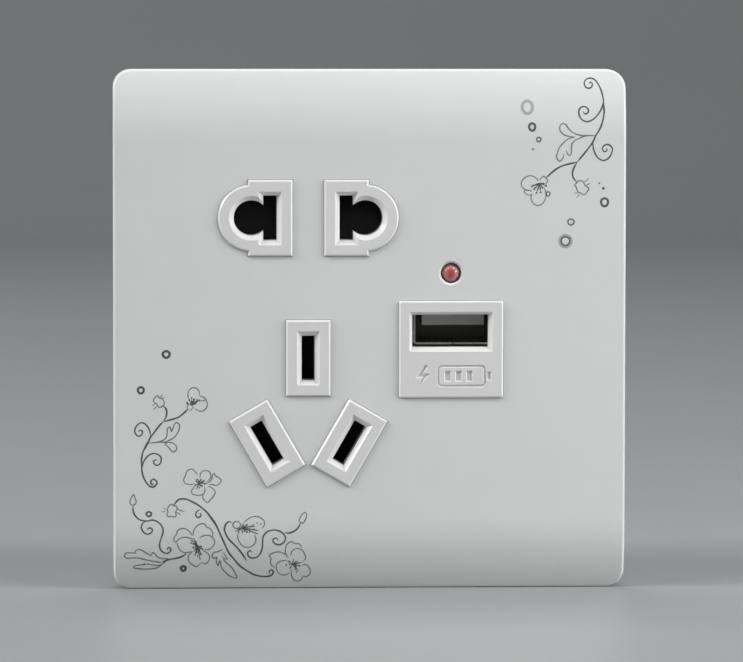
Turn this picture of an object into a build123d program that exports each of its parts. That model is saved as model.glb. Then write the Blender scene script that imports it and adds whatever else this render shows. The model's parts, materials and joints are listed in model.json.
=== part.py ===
from build123d import *
from math import radians, sin, cos, asin
import os

# Wall socket with two-pin, three-pin and USB outlets.
# Millimetres.  X to the right, Y into the wall, Z up.
# The origin is the centre of the plate on the wall plane.

# ------------------------------------------------------------------ plate
PLATE_W = 86.0            # width of the face plate
PLATE_H = 87.3            # height of the face plate
PLATE_R = 3.0             # corner radius
FRONT_Y = -8.0            # flat front of the plate
ARC_H = 11.4              # height of each curved zone, top and bottom
ARC_TILT = 25.0           # tilt of the surface at the outer edge, degrees
ARC_R = ARC_H / sin(radians(ARC_TILT))
SKIN = 2.0                # wall of the plate's front
SIDE = 1.8                # wall of the plate's rim
RIM_Y = -0.15             # back of the plate's rim, just off the wall
EDGE_R = 0.5              # rounding of the front edge
GAP = 0.07                # gap between each pad and its window

# ------------------------------------------------------------------- core
PAD_Y = -8.4              # front of the raised pads
CORE_Y = -5.8             # front of the core behind the plate
CORE_W = 52.4
CORE_H = 55.0
CORE_BACK = -3.8          # back of the core's front wall
FLANGE_Y = -2.4           # where the core rests on the frame
SEAT_Y = -1.2             # where the rear housing rests in the frame
SKIRT_W = 49.6
SKIRT_H = 52.6
SKIRT_T = 1.4
PAD_EDGE = 0.30           # bevel of the pads' outer edge

# ------------------------------------------------------------------ outlets
PIN_X = -10.36            # centre line of the pin outlets
TWO_Z = 18.88             # two-pin group
TWO_PAD_W, TWO_PAD_H = 7.48, 12.85 # straight part of each two-pin pad
TWO_PAD_X = 6.38          # its centre from the centre line
TWO_PAD_R = 5.62          # round part of the pad
ROUND_SP = 9.55           # half spacing of the round pins
FLAT_SP = 6.4            # half spacing of the flat pins
ROUND_R = 2.95
TWO_SLOT_W, TWO_SLOT_H = 2.3, 7.5
EARTH_Z = -4.65
LN_Z = -18.95
LN_SP = 6.9
SLOT_W, SLOT_H = 2.2, 7.5
BEVEL = 0.8               # width of the bevel round each hole
BEVEL_D = 0.85            # its depth
PAD_W, PAD_H = 7.5, 12.85 # pads of the three-pin set
TILT = 30.0

# ---------------------------------------------------------------------- USB
USB_X, USB_Z = 13.62, -3.22      # centre of the pad
USB_W, USB_H = 17.6, 16.4
WIN_X, WIN_Z = 13.5, -0.12       # centre of the window
WIN_W, WIN_H = 12.78, 5.5
PORT_DX, PORT_DZ = 0.45, 0.5     # port's centre from the window's centre
PORT_W, PORT_H = 12.5, 5.12      # inside of the port
PORT_T = 0.3                     # sheet of the port's shell
PORT_Y = -6.3                    # front of the shell
PORT_L = 14.0                    # length of the shell
LED_X, LED_Z = 13.6, 9.6
LED_HOLE_R = 1.7           # hole in the plate
LED_R = 1.6

# -------------------------------------------------------------------- frame
FRAME_W, FRAME_H = 80.8, 81.8
BOX_SP = 30.15            # half spacing of the box screws
BOX_R = 2.1
BOX_SLOT = 6.0            # length of each slotted hole

# ------------------------------------------------------------- rear housing
BACK_Y = 26.0             # back of the rear housing
HOUSE_T = 1.6
SCREW_X, SCREW_Z = 21.3, 24.6
SCREW_R = 1.0            # shank of the housing screws
HEAD_R = 1.95
WALL_X, WALL_T = 4.75, 0.9    # barrier between mains contacts and charger

TWO_TRAVEL = 7.8
THREE_TRAVEL = 3.6

os.makedirs("parts", exist_ok=True)


def at(y):
    """Sketch plane facing the viewer at depth y; extrude goes to the front."""
    return Plane.XZ.offset(-y)


def plate_profile(inset_y, inset_z, back):
    """Side view of the plate: flat middle, arcs at top and bottom."""
    r = ARC_R - inset_y
    zt = PLATE_H / 2 - inset_z
    z0 = PLATE_H / 2 - ARC_H
    front = FRONT_Y + inset_y
    dz = zt - z0
    ang = asin(dz / r)
    y_edge = front + r - r * cos(ang)
    y_mid = front + r - r * cos(ang / 2)
    z_mid = z0 + r * sin(ang / 2)
    return zt, z0, front, y_edge, y_mid, z_mid


PINS = [(-1, PIN_X - LN_SP, LN_Z, TILT), (1, PIN_X + LN_SP, LN_Z, -TILT),
        (0, PIN_X, EARTH_Z, 0.0)]

# ==================================================================== plate
# space behind the plate's skin
with BuildPart() as plate_hollow:
    zt, z0, fy, ye, ym, zm = plate_profile(SKIN, SIDE, RIM_Y)
    with BuildSketch(Plane.YZ.offset(-PLATE_W / 2)):
        with BuildLine():
            Polyline((2, -zt), (2, zt), (ye, zt))
            ThreePointArc((ye, zt), (ym, zm), (fy, z0))
            Line((fy, z0), (fy, -z0))
            ThreePointArc((fy, -z0), (ym, -zm), (ye, -zt))
            Line((ye, -zt), (2, -zt))
        make_face()
    extrude(amount=PLATE_W)
    with BuildSketch(at(3)):
        RectangleRounded(PLATE_W - 2 * SIDE, PLATE_H - 2 * SIDE, PLATE_R - 1.6)
    extrude(amount=14, mode=Mode.INTERSECT)

with BuildPart() as face_plate:
    zt, z0, fy, ye, ym, zm = plate_profile(0.0, 0.0, RIM_Y)
    with BuildSketch(Plane.YZ.offset(-PLATE_W / 2 - 1)) as side_view:
        with BuildLine():
            Polyline((RIM_Y, -zt), (RIM_Y, zt), (ye, zt))
            ThreePointArc((ye, zt), (ym, zm), (fy, z0))
            Line((fy, z0), (fy, -z0))
            ThreePointArc((fy, -z0), (ym, -zm), (ye, -zt))
            Line((ye, -zt), (RIM_Y, -zt))
        make_face()
    extrude(amount=PLATE_W + 2)
    with BuildSketch(at(1)):
        RectangleRounded(PLATE_W, PLATE_H, PLATE_R)
    extrude(amount=12, mode=Mode.INTERSECT)
    # rounded front edge all the way round
    front_edges = [e for e in face_plate.edges()
                   if e.center().Y < -3.0
                   and (abs(abs(e.center().X) - PLATE_W / 2) < 1.2
                        or abs(abs(e.center().Z) - PLATE_H / 2) < 1.2)
                   and not (abs(e.bounding_box().size.Y) > 2.6
                            and e.bounding_box().size.X < 0.01
                            and e.bounding_box().size.Z < 0.01)]
    fillet(front_edges, EDGE_R)
    # hollow back
    add(plate_hollow.part, mode=Mode.SUBTRACT)
    # stiffening ribs on the back, clear of the core and the screws
    with BuildSketch(at(-4.4)):
        with Locations((0, 35.2), (0, -35.2)):
            Rectangle(62, 1.0)
        with Locations((-36.6, 0), (36.6, 0)):
            Rectangle(1.0, 52)
    extrude(amount=1.8)
    # four clips that pass into the frame
    with BuildSketch(at(-0.7)):
        with Locations((-33, 30), (33, 30), (-33, -30), (33, -30)):
            Rectangle(1.4, 6.0)
    extrude(amount=5.5)
    # windows for the pads
    with BuildSketch(at(-4)) as windows:
        for s in (-1, 1):
            with Locations((PIN_X + s * TWO_PAD_X, TWO_Z)):
                Rectangle(TWO_PAD_W + 2 * GAP, TWO_PAD_H + 2 * GAP)
            with Locations((PIN_X + s * ROUND_SP, TWO_Z)):
                Circle(TWO_PAD_R + GAP)
        for s, px, pz, rot in PINS:
            with Locations(Location((px, pz, 0), rot)):
                Rectangle(PAD_W + 2 * GAP, PAD_H + 2 * GAP)
        with Locations((USB_X, USB_Z)):
            RectangleRounded(USB_W + 2 * GAP, USB_H + 2 * GAP, 0.6)
        with Locations((LED_X, LED_Z)):
            Circle(LED_HOLE_R)
    extrude(amount=6, mode=Mode.SUBTRACT)
    # bevel of the light's hole
    with Locations(Location((LED_X, FRONT_Y + 0.18, LED_Z), (90, 0, 0))):
        Cone(bottom_radius=LED_HOLE_R, top_radius=LED_HOLE_R + 0.36, height=0.36,
             mode=Mode.SUBTRACT)
    # notch in the lower rim, where a blade lifts the plate off
    with BuildSketch(at(1)):
        with Locations((0, -PLATE_H / 2)):
            Rectangle(7, 6)
    extrude(amount=2.2, mode=Mode.SUBTRACT)
face_plate.part.label = "face_plate"
export_step(face_plate.part, "parts/face_plate.step")

# ==================================================================== frame
with BuildPart() as mounting_frame:
    with BuildSketch(at(0)):
        RectangleRounded(FRAME_W, FRAME_H, 1.6)
    extrude(amount=-FLANGE_Y)
    # raised outer rim
    with BuildSketch(at(FLANGE_Y)):
        RectangleRounded(FRAME_W, FRAME_H, 1.6)
        RectangleRounded(FRAME_W - 2.8, FRAME_H - 2.8, 0.9, mode=Mode.SUBTRACT)
    extrude(amount=1.2)
    # ribs on the front
    with BuildSketch(at(FLANGE_Y)):
        with Locations((0, 31.2), (0, -31.2)):
            Rectangle(56, 1.1)
        with Locations((-29, 17), (29, 17), (-29, -17), (29, -17)):
            Rectangle(1.1, 20)
    extrude(amount=1.5)
    # bosses round the screw slots
    with BuildSketch(at(FLANGE_Y)):
        with Locations((-BOX_SP, 0), (BOX_SP, 0)):
            SlotOverall(BOX_SLOT + 3.0, 2 * BOX_R + 3.0)
    extrude(amount=0.4)
    # opening for the core
    with BuildSketch(at(1)):
        RectangleRounded(SKIRT_W + 0.4, SKIRT_H + 0.4, 1.0)
    extrude(amount=8, mode=Mode.SUBTRACT)
    # seat of the rear housing
    with BuildSketch(at(0.5)):
        RectangleRounded(CORE_W + 0.6, CORE_H + 0.6, 1.6)
    extrude(amount=0.5 - SEAT_Y, mode=Mode.SUBTRACT)
    # slotted holes for the box screws
    with BuildSketch(at(1)):
        with Locations((-BOX_SP, 0), (BOX_SP, 0)):
            SlotOverall(BOX_SLOT, 2 * BOX_R)
        # slots for the plate's clips
        with Locations((-33, 30), (33, 30), (-33, -30), (33, -30)):
            Rectangle(2.0, 6.8)
    extrude(amount=8, mode=Mode.SUBTRACT)
mounting_frame.part.label = "mounting_frame"
export_step(mounting_frame.part, "parts/mounting_frame.step")

# ===================================================================== core
with BuildPart() as socket_core:
    with BuildSketch(at(FLANGE_Y)):
        RectangleRounded(CORE_W, CORE_H, 1.4)
    extrude(amount=FLANGE_Y - CORE_Y)
    # skirt through the frame
    with BuildSketch(at(SEAT_Y)):
        RectangleRounded(SKIRT_W, SKIRT_H, 0.8)
    extrude(amount=FLANGE_Y * -1 + SEAT_Y + 0.2)
    # hollow behind the front wall
    with BuildSketch(at(SEAT_Y + 1)):
        RectangleRounded(SKIRT_W - 2 * SKIRT_T, SKIRT_H - 2 * SKIRT_T, 0.5)
    extrude(amount=SEAT_Y + 1 - CORE_BACK, mode=Mode.SUBTRACT)
    # raised pads of the two-pin outlets
    for s in (-1, 1):
        with BuildSketch(at(CORE_Y + 0.2)):
            with Locations((PIN_X + s * TWO_PAD_X, TWO_Z)):
                Rectangle(TWO_PAD_W, TWO_PAD_H)
            with Locations((PIN_X + s * ROUND_SP, TWO_Z)):
                Circle(TWO_PAD_R)
        extrude(amount=CORE_Y + 0.2 - PAD_Y)
    # raised pads of the three-pin outlet
    for s, px, pz, rot in PINS:
        with BuildSketch(at(CORE_Y + 0.2)):
            with Locations(Location((px, pz, 0), rot)):
                Rectangle(PAD_W, PAD_H)
        extrude(amount=CORE_Y + 0.2 - PAD_Y)
    # bevelled edges on the pads
    pad_rims = socket_core.faces().filter_by(Axis.Y).sort_by(Axis.Y)
    rims = [e for f in pad_rims if abs(f.center().Y - PAD_Y) < 0.01
            for e in f.outer_wire().edges()]
    chamfer(rims, PAD_EDGE)
    # window for the USB pad and hole for the light
    with BuildSketch(at(0)):
        with Locations((USB_X, USB_Z)):
            Rectangle(USB_W + 0.3, USB_H + 0.3)
        with Locations((LED_X, LED_Z)):
            Circle(LED_R + 0.12)
    extrude(amount=7, mode=Mode.SUBTRACT)
    # notches that free the box screws and their driver
    with BuildSketch(at(0)):
        with Locations((-BOX_SP, 0), (BOX_SP, 0)):
            Circle(4.7)
    extrude(amount=7, mode=Mode.SUBTRACT)
    # bosses for the housing screws
    with BuildSketch(at(SEAT_Y)):
        with Locations((-SCREW_X, SCREW_Z), (SCREW_X, SCREW_Z),
                       (-SCREW_X, -SCREW_Z), (SCREW_X, -SCREW_Z)):
            Circle(1.8)
    extrude(amount=SEAT_Y - CORE_BACK + 0.3)
    with BuildSketch(at(SEAT_Y)):
        Rectangle(SKIRT_W + 6, SKIRT_H + 6)
        RectangleRounded(SKIRT_W, SKIRT_H, 0.8, mode=Mode.SUBTRACT)
    extrude(amount=SEAT_Y - FLANGE_Y, mode=Mode.SUBTRACT)
    # posts that back the shutter springs, and rails beside the shutters
    with BuildSketch(at(1.3)):
        with Locations((PIN_X, 3.9)):
            Rectangle(5.2, 1.2)
        with Locations((-4.9, -12.6)):
            Rectangle(1.4, 3.6)
        with Locations((3.35, 15.2)):
            Rectangle(0.9, 15.0)
        with Locations((PIN_X, 23.5)):
            Rectangle(9.0, 0.9)
        with Locations((PIN_X, -24.2)):
            Rectangle(16.0, 1.0)
    extrude(amount=1.3 - CORE_BACK + 0.3)
    # rib that meets the housing's barrier above and below the USB pad
    with BuildSketch(at(-2.55)):
        with Locations((WALL_X, 15.6)):
            Rectangle(WALL_T, 18.8)
        with Locations((WALL_X, -18.85)):
            Rectangle(WALL_T, 12.3)
    extrude(amount=-2.55 - CORE_BACK + 0.3)
    # pilot holes for the housing screws
    with BuildSketch(at(0)):
        with Locations((-SCREW_X, SCREW_Z), (SCREW_X, SCREW_Z),
                       (-SCREW_X, -SCREW_Z), (SCREW_X, -SCREW_Z)):
            Circle(SCREW_R)
    extrude(amount=5.0, mode=Mode.SUBTRACT)
    # the pin holes
    with BuildSketch(at(2)):
        for s in (-1, 1):
            with Locations((PIN_X + s * ROUND_SP, TWO_Z)):
                Circle(ROUND_R)
            with Locations((PIN_X + s * FLAT_SP, TWO_Z)):
                Rectangle(TWO_SLOT_W, TWO_SLOT_H)
        for s, px, pz, rot in PINS:
            with Locations(Location((px, pz, 0), rot)):
                Rectangle(SLOT_W, SLOT_H)
    extrude(amount=12, mode=Mode.SUBTRACT)
    # bevels: a cone round each round hole, a tapered frame round each slot
    for s in (-1, 1):
        with Locations(Location((PIN_X + s * ROUND_SP, PAD_Y + BEVEL_D / 2, TWO_Z),
                                (90, 0, 0))):
            Cone(bottom_radius=ROUND_R, top_radius=ROUND_R + BEVEL, height=BEVEL_D,
                 mode=Mode.SUBTRACT)
        with BuildSketch(at(PAD_Y + BEVEL_D)):
            with Locations((PIN_X + s * FLAT_SP, TWO_Z)):
                Rectangle(TWO_SLOT_W, TWO_SLOT_H)
        with BuildSketch(at(PAD_Y)):
            with Locations((PIN_X + s * FLAT_SP, TWO_Z - 0.06)):
                Rectangle(TWO_SLOT_W + 2 * BEVEL, TWO_SLOT_H + 2 * BEVEL - 0.12)
        loft(mode=Mode.SUBTRACT)
    for s, px, pz, rot in PINS:
        with BuildSketch(at(PAD_Y + BEVEL_D)):
            with Locations(Location((px, pz, 0), rot)):
                Rectangle(SLOT_W, SLOT_H)
        with BuildSketch(at(PAD_Y)):
            with Locations(Location((px, pz, 0), rot)):
                Rectangle(SLOT_W + 2 * BEVEL, SLOT_H + 2 * BEVEL)
        loft(mode=Mode.SUBTRACT)
socket_core.part.label = "socket_core"
export_step(socket_core.part, "parts/socket_core.step")

# ==================================================================== bezel
BEZEL_BACK = -3.8
MARK_D = 0.24             # depth of the engraved pictogram
with BuildPart() as usb_bezel:
    with BuildSketch(at(-2.6)):
        with Locations((USB_X, USB_Z)):
            Rectangle(18.8, 18.6)
    extrude(amount=BEZEL_BACK * -1 - 2.6)
    with BuildSketch(at(-3.4)):
        with Locations((USB_X, USB_Z)):
            RectangleRounded(USB_W, USB_H, 0.45)
    extrude(amount=-3.4 - PAD_Y)
    rims = [e for f in usb_bezel.faces().filter_by(Axis.Y)
            if abs(f.center().Y - PAD_Y) < 0.01 for e in f.outer_wire().edges()]
    chamfer(rims, PAD_EDGE)
    # seat of the port from behind
    with BuildSketch(at(0)):
        with Locations((WIN_X + PORT_DX, WIN_Z + PORT_DZ)):
            Rectangle(PORT_W + 2 * PORT_T + 0.2, PORT_H + 2 * PORT_T + 0.2)
    extrude(amount=-PORT_Y + 0.05, mode=Mode.SUBTRACT)
    # window and its bevel
    with BuildSketch(at(0)):
        with Locations((WIN_X, WIN_Z)):
            Rectangle(WIN_W, WIN_H)
    extrude(amount=12, mode=Mode.SUBTRACT)
    with BuildSketch(at(PAD_Y + 0.75)):
        with Locations((WIN_X, WIN_Z)):
            Rectangle(WIN_W, WIN_H)
    with BuildSketch(at(PAD_Y)):
        with Locations((WIN_X + 0.12, WIN_Z - 0.14)):
            Rectangle(WIN_W + 1.3, WIN_H + 1.2)
    loft(mode=Mode.SUBTRACT)
    # shallow charging pictogram below the window: a bolt and a battery with three bars
    with BuildSketch(at(PAD_Y)) as mark:
        with BuildLine():
            Polyline((9.05, -5.8), (7.55, -8.0), (8.6, -8.0), (8.05, -9.65),
                     (10.15, -7.25), (9.05, -7.25), (9.85, -5.8), (9.05, -5.8))
        make_face()
        with Locations((15.4, -7.7)):
            RectangleRounded(8.3, 3.8, 0.9)
            RectangleRounded(7.35, 2.85, 0.45, mode=Mode.SUBTRACT)
        with Locations((20.0, -7.7)):
            Rectangle(0.8, 1.5)
        with Locations((13.0, -7.7), (14.85, -7.7), (16.7, -7.7)):
            Rectangle(1.15, 1.85)
    for f in mark.sketch.faces():
        extrude(f, amount=-MARK_D, taper=38, mode=Mode.SUBTRACT)
usb_bezel.part.label = "usb_bezel"
export_step(usb_bezel.part, "parts/usb_bezel.step")

# ============================================================= rear housing
TERM = [("neutral", -19.0, 2.0), ("live", -0.9, 2.0), ("earth", -10.2, 10.6)]
TERM_Y0, TERM_Y1 = 13.2, 22.2      # front and back of the terminal blocks
WIRE_R = 1.75
LINK_Y, LINK_Z = (19.0, 20.6), (-12.0, -9.0)
with BuildPart() as rear_housing:
    with BuildSketch(at(BACK_Y)):
        RectangleRounded(CORE_W, CORE_H, 1.4)
    extrude(amount=BACK_Y - SEAT_Y)
    back_edges = [e for e in rear_housing.edges() if abs(e.center().Y - BACK_Y) < 0.01]
    chamfer(back_edges, 0.6)
    with BuildSketch(at(BACK_Y - 1.8)):
        RectangleRounded(CORE_W - 2 * HOUSE_T, CORE_H - 2 * HOUSE_T, 0.5)
    extrude(amount=BACK_Y - 1.8 - SEAT_Y + 1, mode=Mode.SUBTRACT)
    # screw tubes
    with BuildSketch(at(BACK_Y - 1.0)):
        with Locations((-SCREW_X, SCREW_Z), (SCREW_X, SCREW_Z),
                       (-SCREW_X, -SCREW_Z), (SCREW_X, -SCREW_Z)):
            Circle(1.85)
    extrude(amount=BACK_Y - 1.0 - SEAT_Y)
    with BuildSketch(at(BACK_Y - 1.0)):
        with Locations((-SCREW_X, SCREW_Z), (SCREW_X, SCREW_Z),
                       (-SCREW_X, -SCREW_Z), (SCREW_X, -SCREW_Z)):
            Circle(3.0)
    extrude(amount=3.6)
    # barrier between the mains side and the charger, up to the core's own rib
    with BuildSketch(at(BACK_Y - 1.0)):
        with Locations((WALL_X, 0)):
            Rectangle(WALL_T, CORE_H - 2)
    extrude(amount=BACK_Y - 1.0 - SEAT_Y)
    with BuildSketch(at(0)):
        with Locations((WALL_X, 0)):
            Rectangle(WALL_T, SKIRT_H - 2 * SKIRT_T - 0.6)
    extrude(amount=2.5)
    # rib between the terminals
    with BuildSketch(at(BACK_Y - 1.0)):
        with Locations((-10.2, 4.6)):
            Rectangle(8.0, 0.9)
    extrude(amount=BACK_Y - 1.0 - 13.0)
    # holes in the barrier for the two link wires
    with BuildSketch(Plane.YZ.offset(WALL_X - 1)):
        with Locations((LINK_Y[0], LINK_Z[0]), (LINK_Y[1], LINK_Z[1])):
            Circle(0.8)
    extrude(amount=2, mode=Mode.SUBTRACT)
    # posts that hold down the contacts
    with BuildSketch(at(BACK_Y - 1.0)):
        with Locations((PIN_X - 7.35, TWO_Z), (PIN_X + 7.35, TWO_Z),
                       (PIN_X - LN_SP, LN_Z), (PIN_X + LN_SP, LN_Z), (PIN_X, EARTH_Z)):
            Rectangle(2.4, 2.4)
    extrude(amount=BACK_Y - 1.0 - 11.8)
    # posts that hold down the charger's board
    with BuildSketch(at(BACK_Y - 1.0)):
        with Locations((21.8, 10.0), (21.8, -6.0)):
            Rectangle(2.0, 3.0)
    extrude(amount=BACK_Y - 1.0 - 9.6)
    # trim what stands outside the box
    with BuildSketch(at(BACK_Y + 1)):
        Rectangle(CORE_W + 20, CORE_H + 20)
        RectangleRounded(CORE_W, CORE_H, 1.4, mode=Mode.SUBTRACT)
    extrude(amount=BACK_Y + 3, mode=Mode.SUBTRACT)
    # notches that free the box screws
    with BuildSketch(at(BACK_Y + 1)):
        with Locations((-BOX_SP, 0), (BOX_SP, 0)):
            Circle(4.7)
    extrude(amount=BACK_Y + 3, mode=Mode.SUBTRACT)
    # screw holes with sunk heads
    with BuildSketch(at(BACK_Y + 1)):
        with Locations((-SCREW_X, SCREW_Z), (SCREW_X, SCREW_Z),
                       (-SCREW_X, -SCREW_Z), (SCREW_X, -SCREW_Z)):
            Circle(SCREW_R + 0.1)
    extrude(amount=BACK_Y + 4, mode=Mode.SUBTRACT)
    with BuildSketch(at(BACK_Y + 1)):
        with Locations((-SCREW_X, SCREW_Z), (SCREW_X, SCREW_Z),
                       (-SCREW_X, -SCREW_Z), (SCREW_X, -SCREW_Z)):
            Circle(HEAD_R + 0.15)
    extrude(amount=3.4, mode=Mode.SUBTRACT)
    # wire entries and driver holes over the terminals, all from the back
    for name, tx, tz in TERM:
        with BuildSketch(at(BACK_Y + 1)):
            with Locations((tx - 2.3, tz)):
                Circle(2.0)
            with Locations((tx + 2.3, tz)):
                Circle(2.2)
        extrude(amount=3.6, mode=Mode.SUBTRACT)
    # engraved marks by the wire holes, drawn to be read from behind
    with BuildSketch(at(BACK_Y)):
        with Locations((-1.9, -2.6)):
            Rectangle(0.4, 2.4)
        with Locations((-2.5, -3.6)):
            Rectangle(1.6, 0.4)
        with Locations((-20.5, -2.6), (-22.1, -2.6)):
            Rectangle(0.4, 2.4)
        with BuildLine():
            Polyline((-20.7, -1.4), (-20.3, -1.4), (-21.9, -3.8), (-22.3, -3.8), (-20.7, -1.4))
        make_face()
        with Locations((-12.5, 15.6)):
            Rectangle(0.4, 1.4)
        with Locations((-12.5, 14.8)):
            Rectangle(2.6, 0.35)
        with Locations((-12.5, 14.15)):
            Rectangle(1.7, 0.35)
        with Locations((-12.5, 13.5)):
            Rectangle(0.8, 0.35)
    extrude(amount=0.3, mode=Mode.SUBTRACT)
rear_housing.part.label = "rear_housing"
export_step(rear_housing.part, "parts/rear_housing.step")

# ================================================================== screws
HEAD_Y = BACK_Y - 2.4
with BuildPart() as housing_screws:
    with BuildSketch(at(HEAD_Y)):
        with Locations((-SCREW_X, SCREW_Z), (SCREW_X, SCREW_Z),
                       (-SCREW_X, -SCREW_Z), (SCREW_X, -SCREW_Z)):
            Circle(SCREW_R)
    extrude(amount=HEAD_Y + 4.6)
    with BuildSketch(at(HEAD_Y + 1.6)):
        with Locations((-SCREW_X, SCREW_Z), (SCREW_X, SCREW_Z),
                       (-SCREW_X, -SCREW_Z), (SCREW_X, -SCREW_Z)):
            Circle(HEAD_R)
    extrude(amount=1.6)
    rims = [e for e in housing_screws.edges()
            if abs(e.center().Y - HEAD_Y - 1.6) < 0.01]
    fillet(rims, 0.6)
    for sx in (-1, 1):
        for sz in (-1, 1):
            with BuildSketch(at(HEAD_Y + 1.7)):
                with Locations(Location((sx * SCREW_X, sz * SCREW_Z, 0), 20.0)):
                    Rectangle(2.3, 0.5)
                    Rectangle(0.5, 2.3)
            extrude(amount=1.0, mode=Mode.SUBTRACT)
housing_screws.part.label = "housing_screws"
export_step(housing_screws.part, "parts/housing_screws.step")

# ============================================================ shutter cover
with BuildPart() as shutter_cover:
    with BuildSketch(at(2.3)):
        with Locations((-10.0, 0)):
            Rectangle(26.4, 49.0)
        with Locations((-SCREW_X, SCREW_Z), (-SCREW_X, -SCREW_Z)):
            Circle(2.6, mode=Mode.SUBTRACT)
        with Locations((-BOX_SP, 0)):
            Circle(7.0, mode=Mode.SUBTRACT)
        for s in (-1, 1):
            with Locations((PIN_X + s * ROUND_SP, TWO_Z)):
                Circle(ROUND_R, mode=Mode.SUBTRACT)
            with Locations((PIN_X + s * FLAT_SP, TWO_Z)):
                Rectangle(TWO_SLOT_W, TWO_SLOT_H, mode=Mode.SUBTRACT)
        for s, px, pz, rot in PINS:
            with Locations(Location((px, pz, 0), rot)):
                Rectangle(SLOT_W, SLOT_H, mode=Mode.SUBTRACT)
    extrude(amount=1.0)
shutter_cover.part.label = "shutter_cover"
export_step(shutter_cover.part, "parts/shutter_cover.step")

# ================================================================= shutters
SH_F, SH_B = -3.6, 0.9
with BuildPart() as two_pin_shutter:
    with BuildSketch(at(SH_B)):
        with BuildLine():
            # top left corner stays clear of the housing's screw tube
            Polyline((-23.25, 14.6), (-23.25, 19.9), (-20.25, 22.9), (2.6, 22.9),
                     (2.6, 14.6), (-23.25, 14.6))
        make_face()
    extrude(amount=SH_B - SH_F)
    # ramps that a pair of pins presses on
    for s in (-1, 1):
        with BuildSketch(Plane.YZ.offset(PIN_X + s * 8.9 - 4.05)):
            with BuildLine():
                Polyline((SH_F - 0.5, 15.2), (SH_F, 15.5), (SH_B - 0.9, 23.2),
                         (SH_F - 0.5, 23.4), (SH_F - 0.5, 15.2))
            make_face()
        extrude(amount=8.1, mode=Mode.SUBTRACT)
    # pocket for the spring
    with BuildSketch(at(SH_B + 0.1)):
        with Locations((PIN_X, 17.0)):
            Rectangle(3.3, 6.0)
    extrude(amount=SH_B - SH_F + 1, mode=Mode.SUBTRACT)
two_pin_shutter.part.label = "two_pin_shutter"
export_step(two_pin_shutter.part, "parts/two_pin_shutter.step")

with BuildPart() as three_pin_shutter:
    with BuildSketch(at(SH_B)) as three_plan:
        with BuildLine():
            # left edge follows the tilt of the neutral slot
            Polyline((-21.3, -14.75), (-16.3, -23.4), (-0.3, -23.4),
                     (0.4, -22.6), (0.4, -14.75), (-21.3, -14.75))
        make_face()
        # block behind the earth slot
        with Locations((PIN_X - 0.3, -4.9)):
            Rectangle(4.1, 9.4)
        # lug that the spring presses
        with Locations((-16.35, -13.0)):
            Rectangle(2.3, 3.6)
        # slanted window that comes over the live slot
        with Locations(Location((PIN_X + LN_SP - THREE_TRAVEL, LN_Z, 0), -TILT)):
            Rectangle(2.9, 8.0, mode=Mode.SUBTRACT)
    extrude(amount=SH_B - SH_F)
    # neck to that block, in front of the spring
    with BuildSketch(at(-2.85)):
        with Locations((PIN_X - 0.75, -12.2)):
            Rectangle(3.0, 5.6)
    extrude(amount=-2.85 - SH_F)
    # ramps
    for px, pz, rot in ((PIN_X - LN_SP, LN_Z, TILT), (PIN_X + LN_SP, LN_Z, -TILT),
                        (PIN_X, EARTH_Z, 0.0)):
        pl = Plane(origin=(px, 0, pz), x_dir=(cos(radians(rot)), 0, sin(radians(rot))),
                   z_dir=(-sin(radians(rot)), 0, cos(radians(rot))))
        with BuildSketch(pl.offset(-3.9)):
            with BuildLine():
                # local x runs across the slot, local y runs into the depth
                Polyline((-1.8, SH_F - 0.5), (1.35, SH_F - 0.5), (1.35, SH_F),
                         (-1.8, SH_F + 3.1), (-1.8, SH_F - 0.5))
            make_face()
        extrude(amount=7.8, mode=Mode.SUBTRACT)
three_pin_shutter.part.label = "three_pin_shutter"
export_step(three_pin_shutter.part, "parts/three_pin_shutter.step")

# ================================================================== springs
WIRE = 0.17
with BuildPart() as two_pin_spring:
    with BuildLine() as coil2:
        Helix(pitch=1.9, height=15.0, radius=1.15, center=(PIN_X, -1.35, 4.75),
              direction=(0, 0, 1))
    with BuildSketch(Plane(origin=coil2.line @ 0, z_dir=coil2.line % 0)):
        Circle(WIRE)
    sweep(is_frenet=True)
two_pin_spring.part.label = "two_pin_spring"
export_step(two_pin_spring.part, "parts/two_pin_spring.step")

with BuildPart() as three_pin_spring:
    with BuildLine() as coil3:
        Helix(pitch=1.45, height=8.9, radius=1.15, center=(-14.9, -1.35, -12.9),
              direction=(1, 0, 0))
    with BuildSketch(Plane(origin=coil3.line @ 0, z_dir=coil3.line % 0)):
        Circle(WIRE)
    sweep(is_frenet=True)
three_pin_spring.part.label = "three_pin_spring"
export_step(three_pin_spring.part, "parts/three_pin_spring.step")

# ================================================================= contacts
J0, J1 = 2.7, 11.2        # front and back of the jaws
T = 0.6                   # strip thickness
SP0, SP1 = 11.2, 11.8     # spine of each strip


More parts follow.
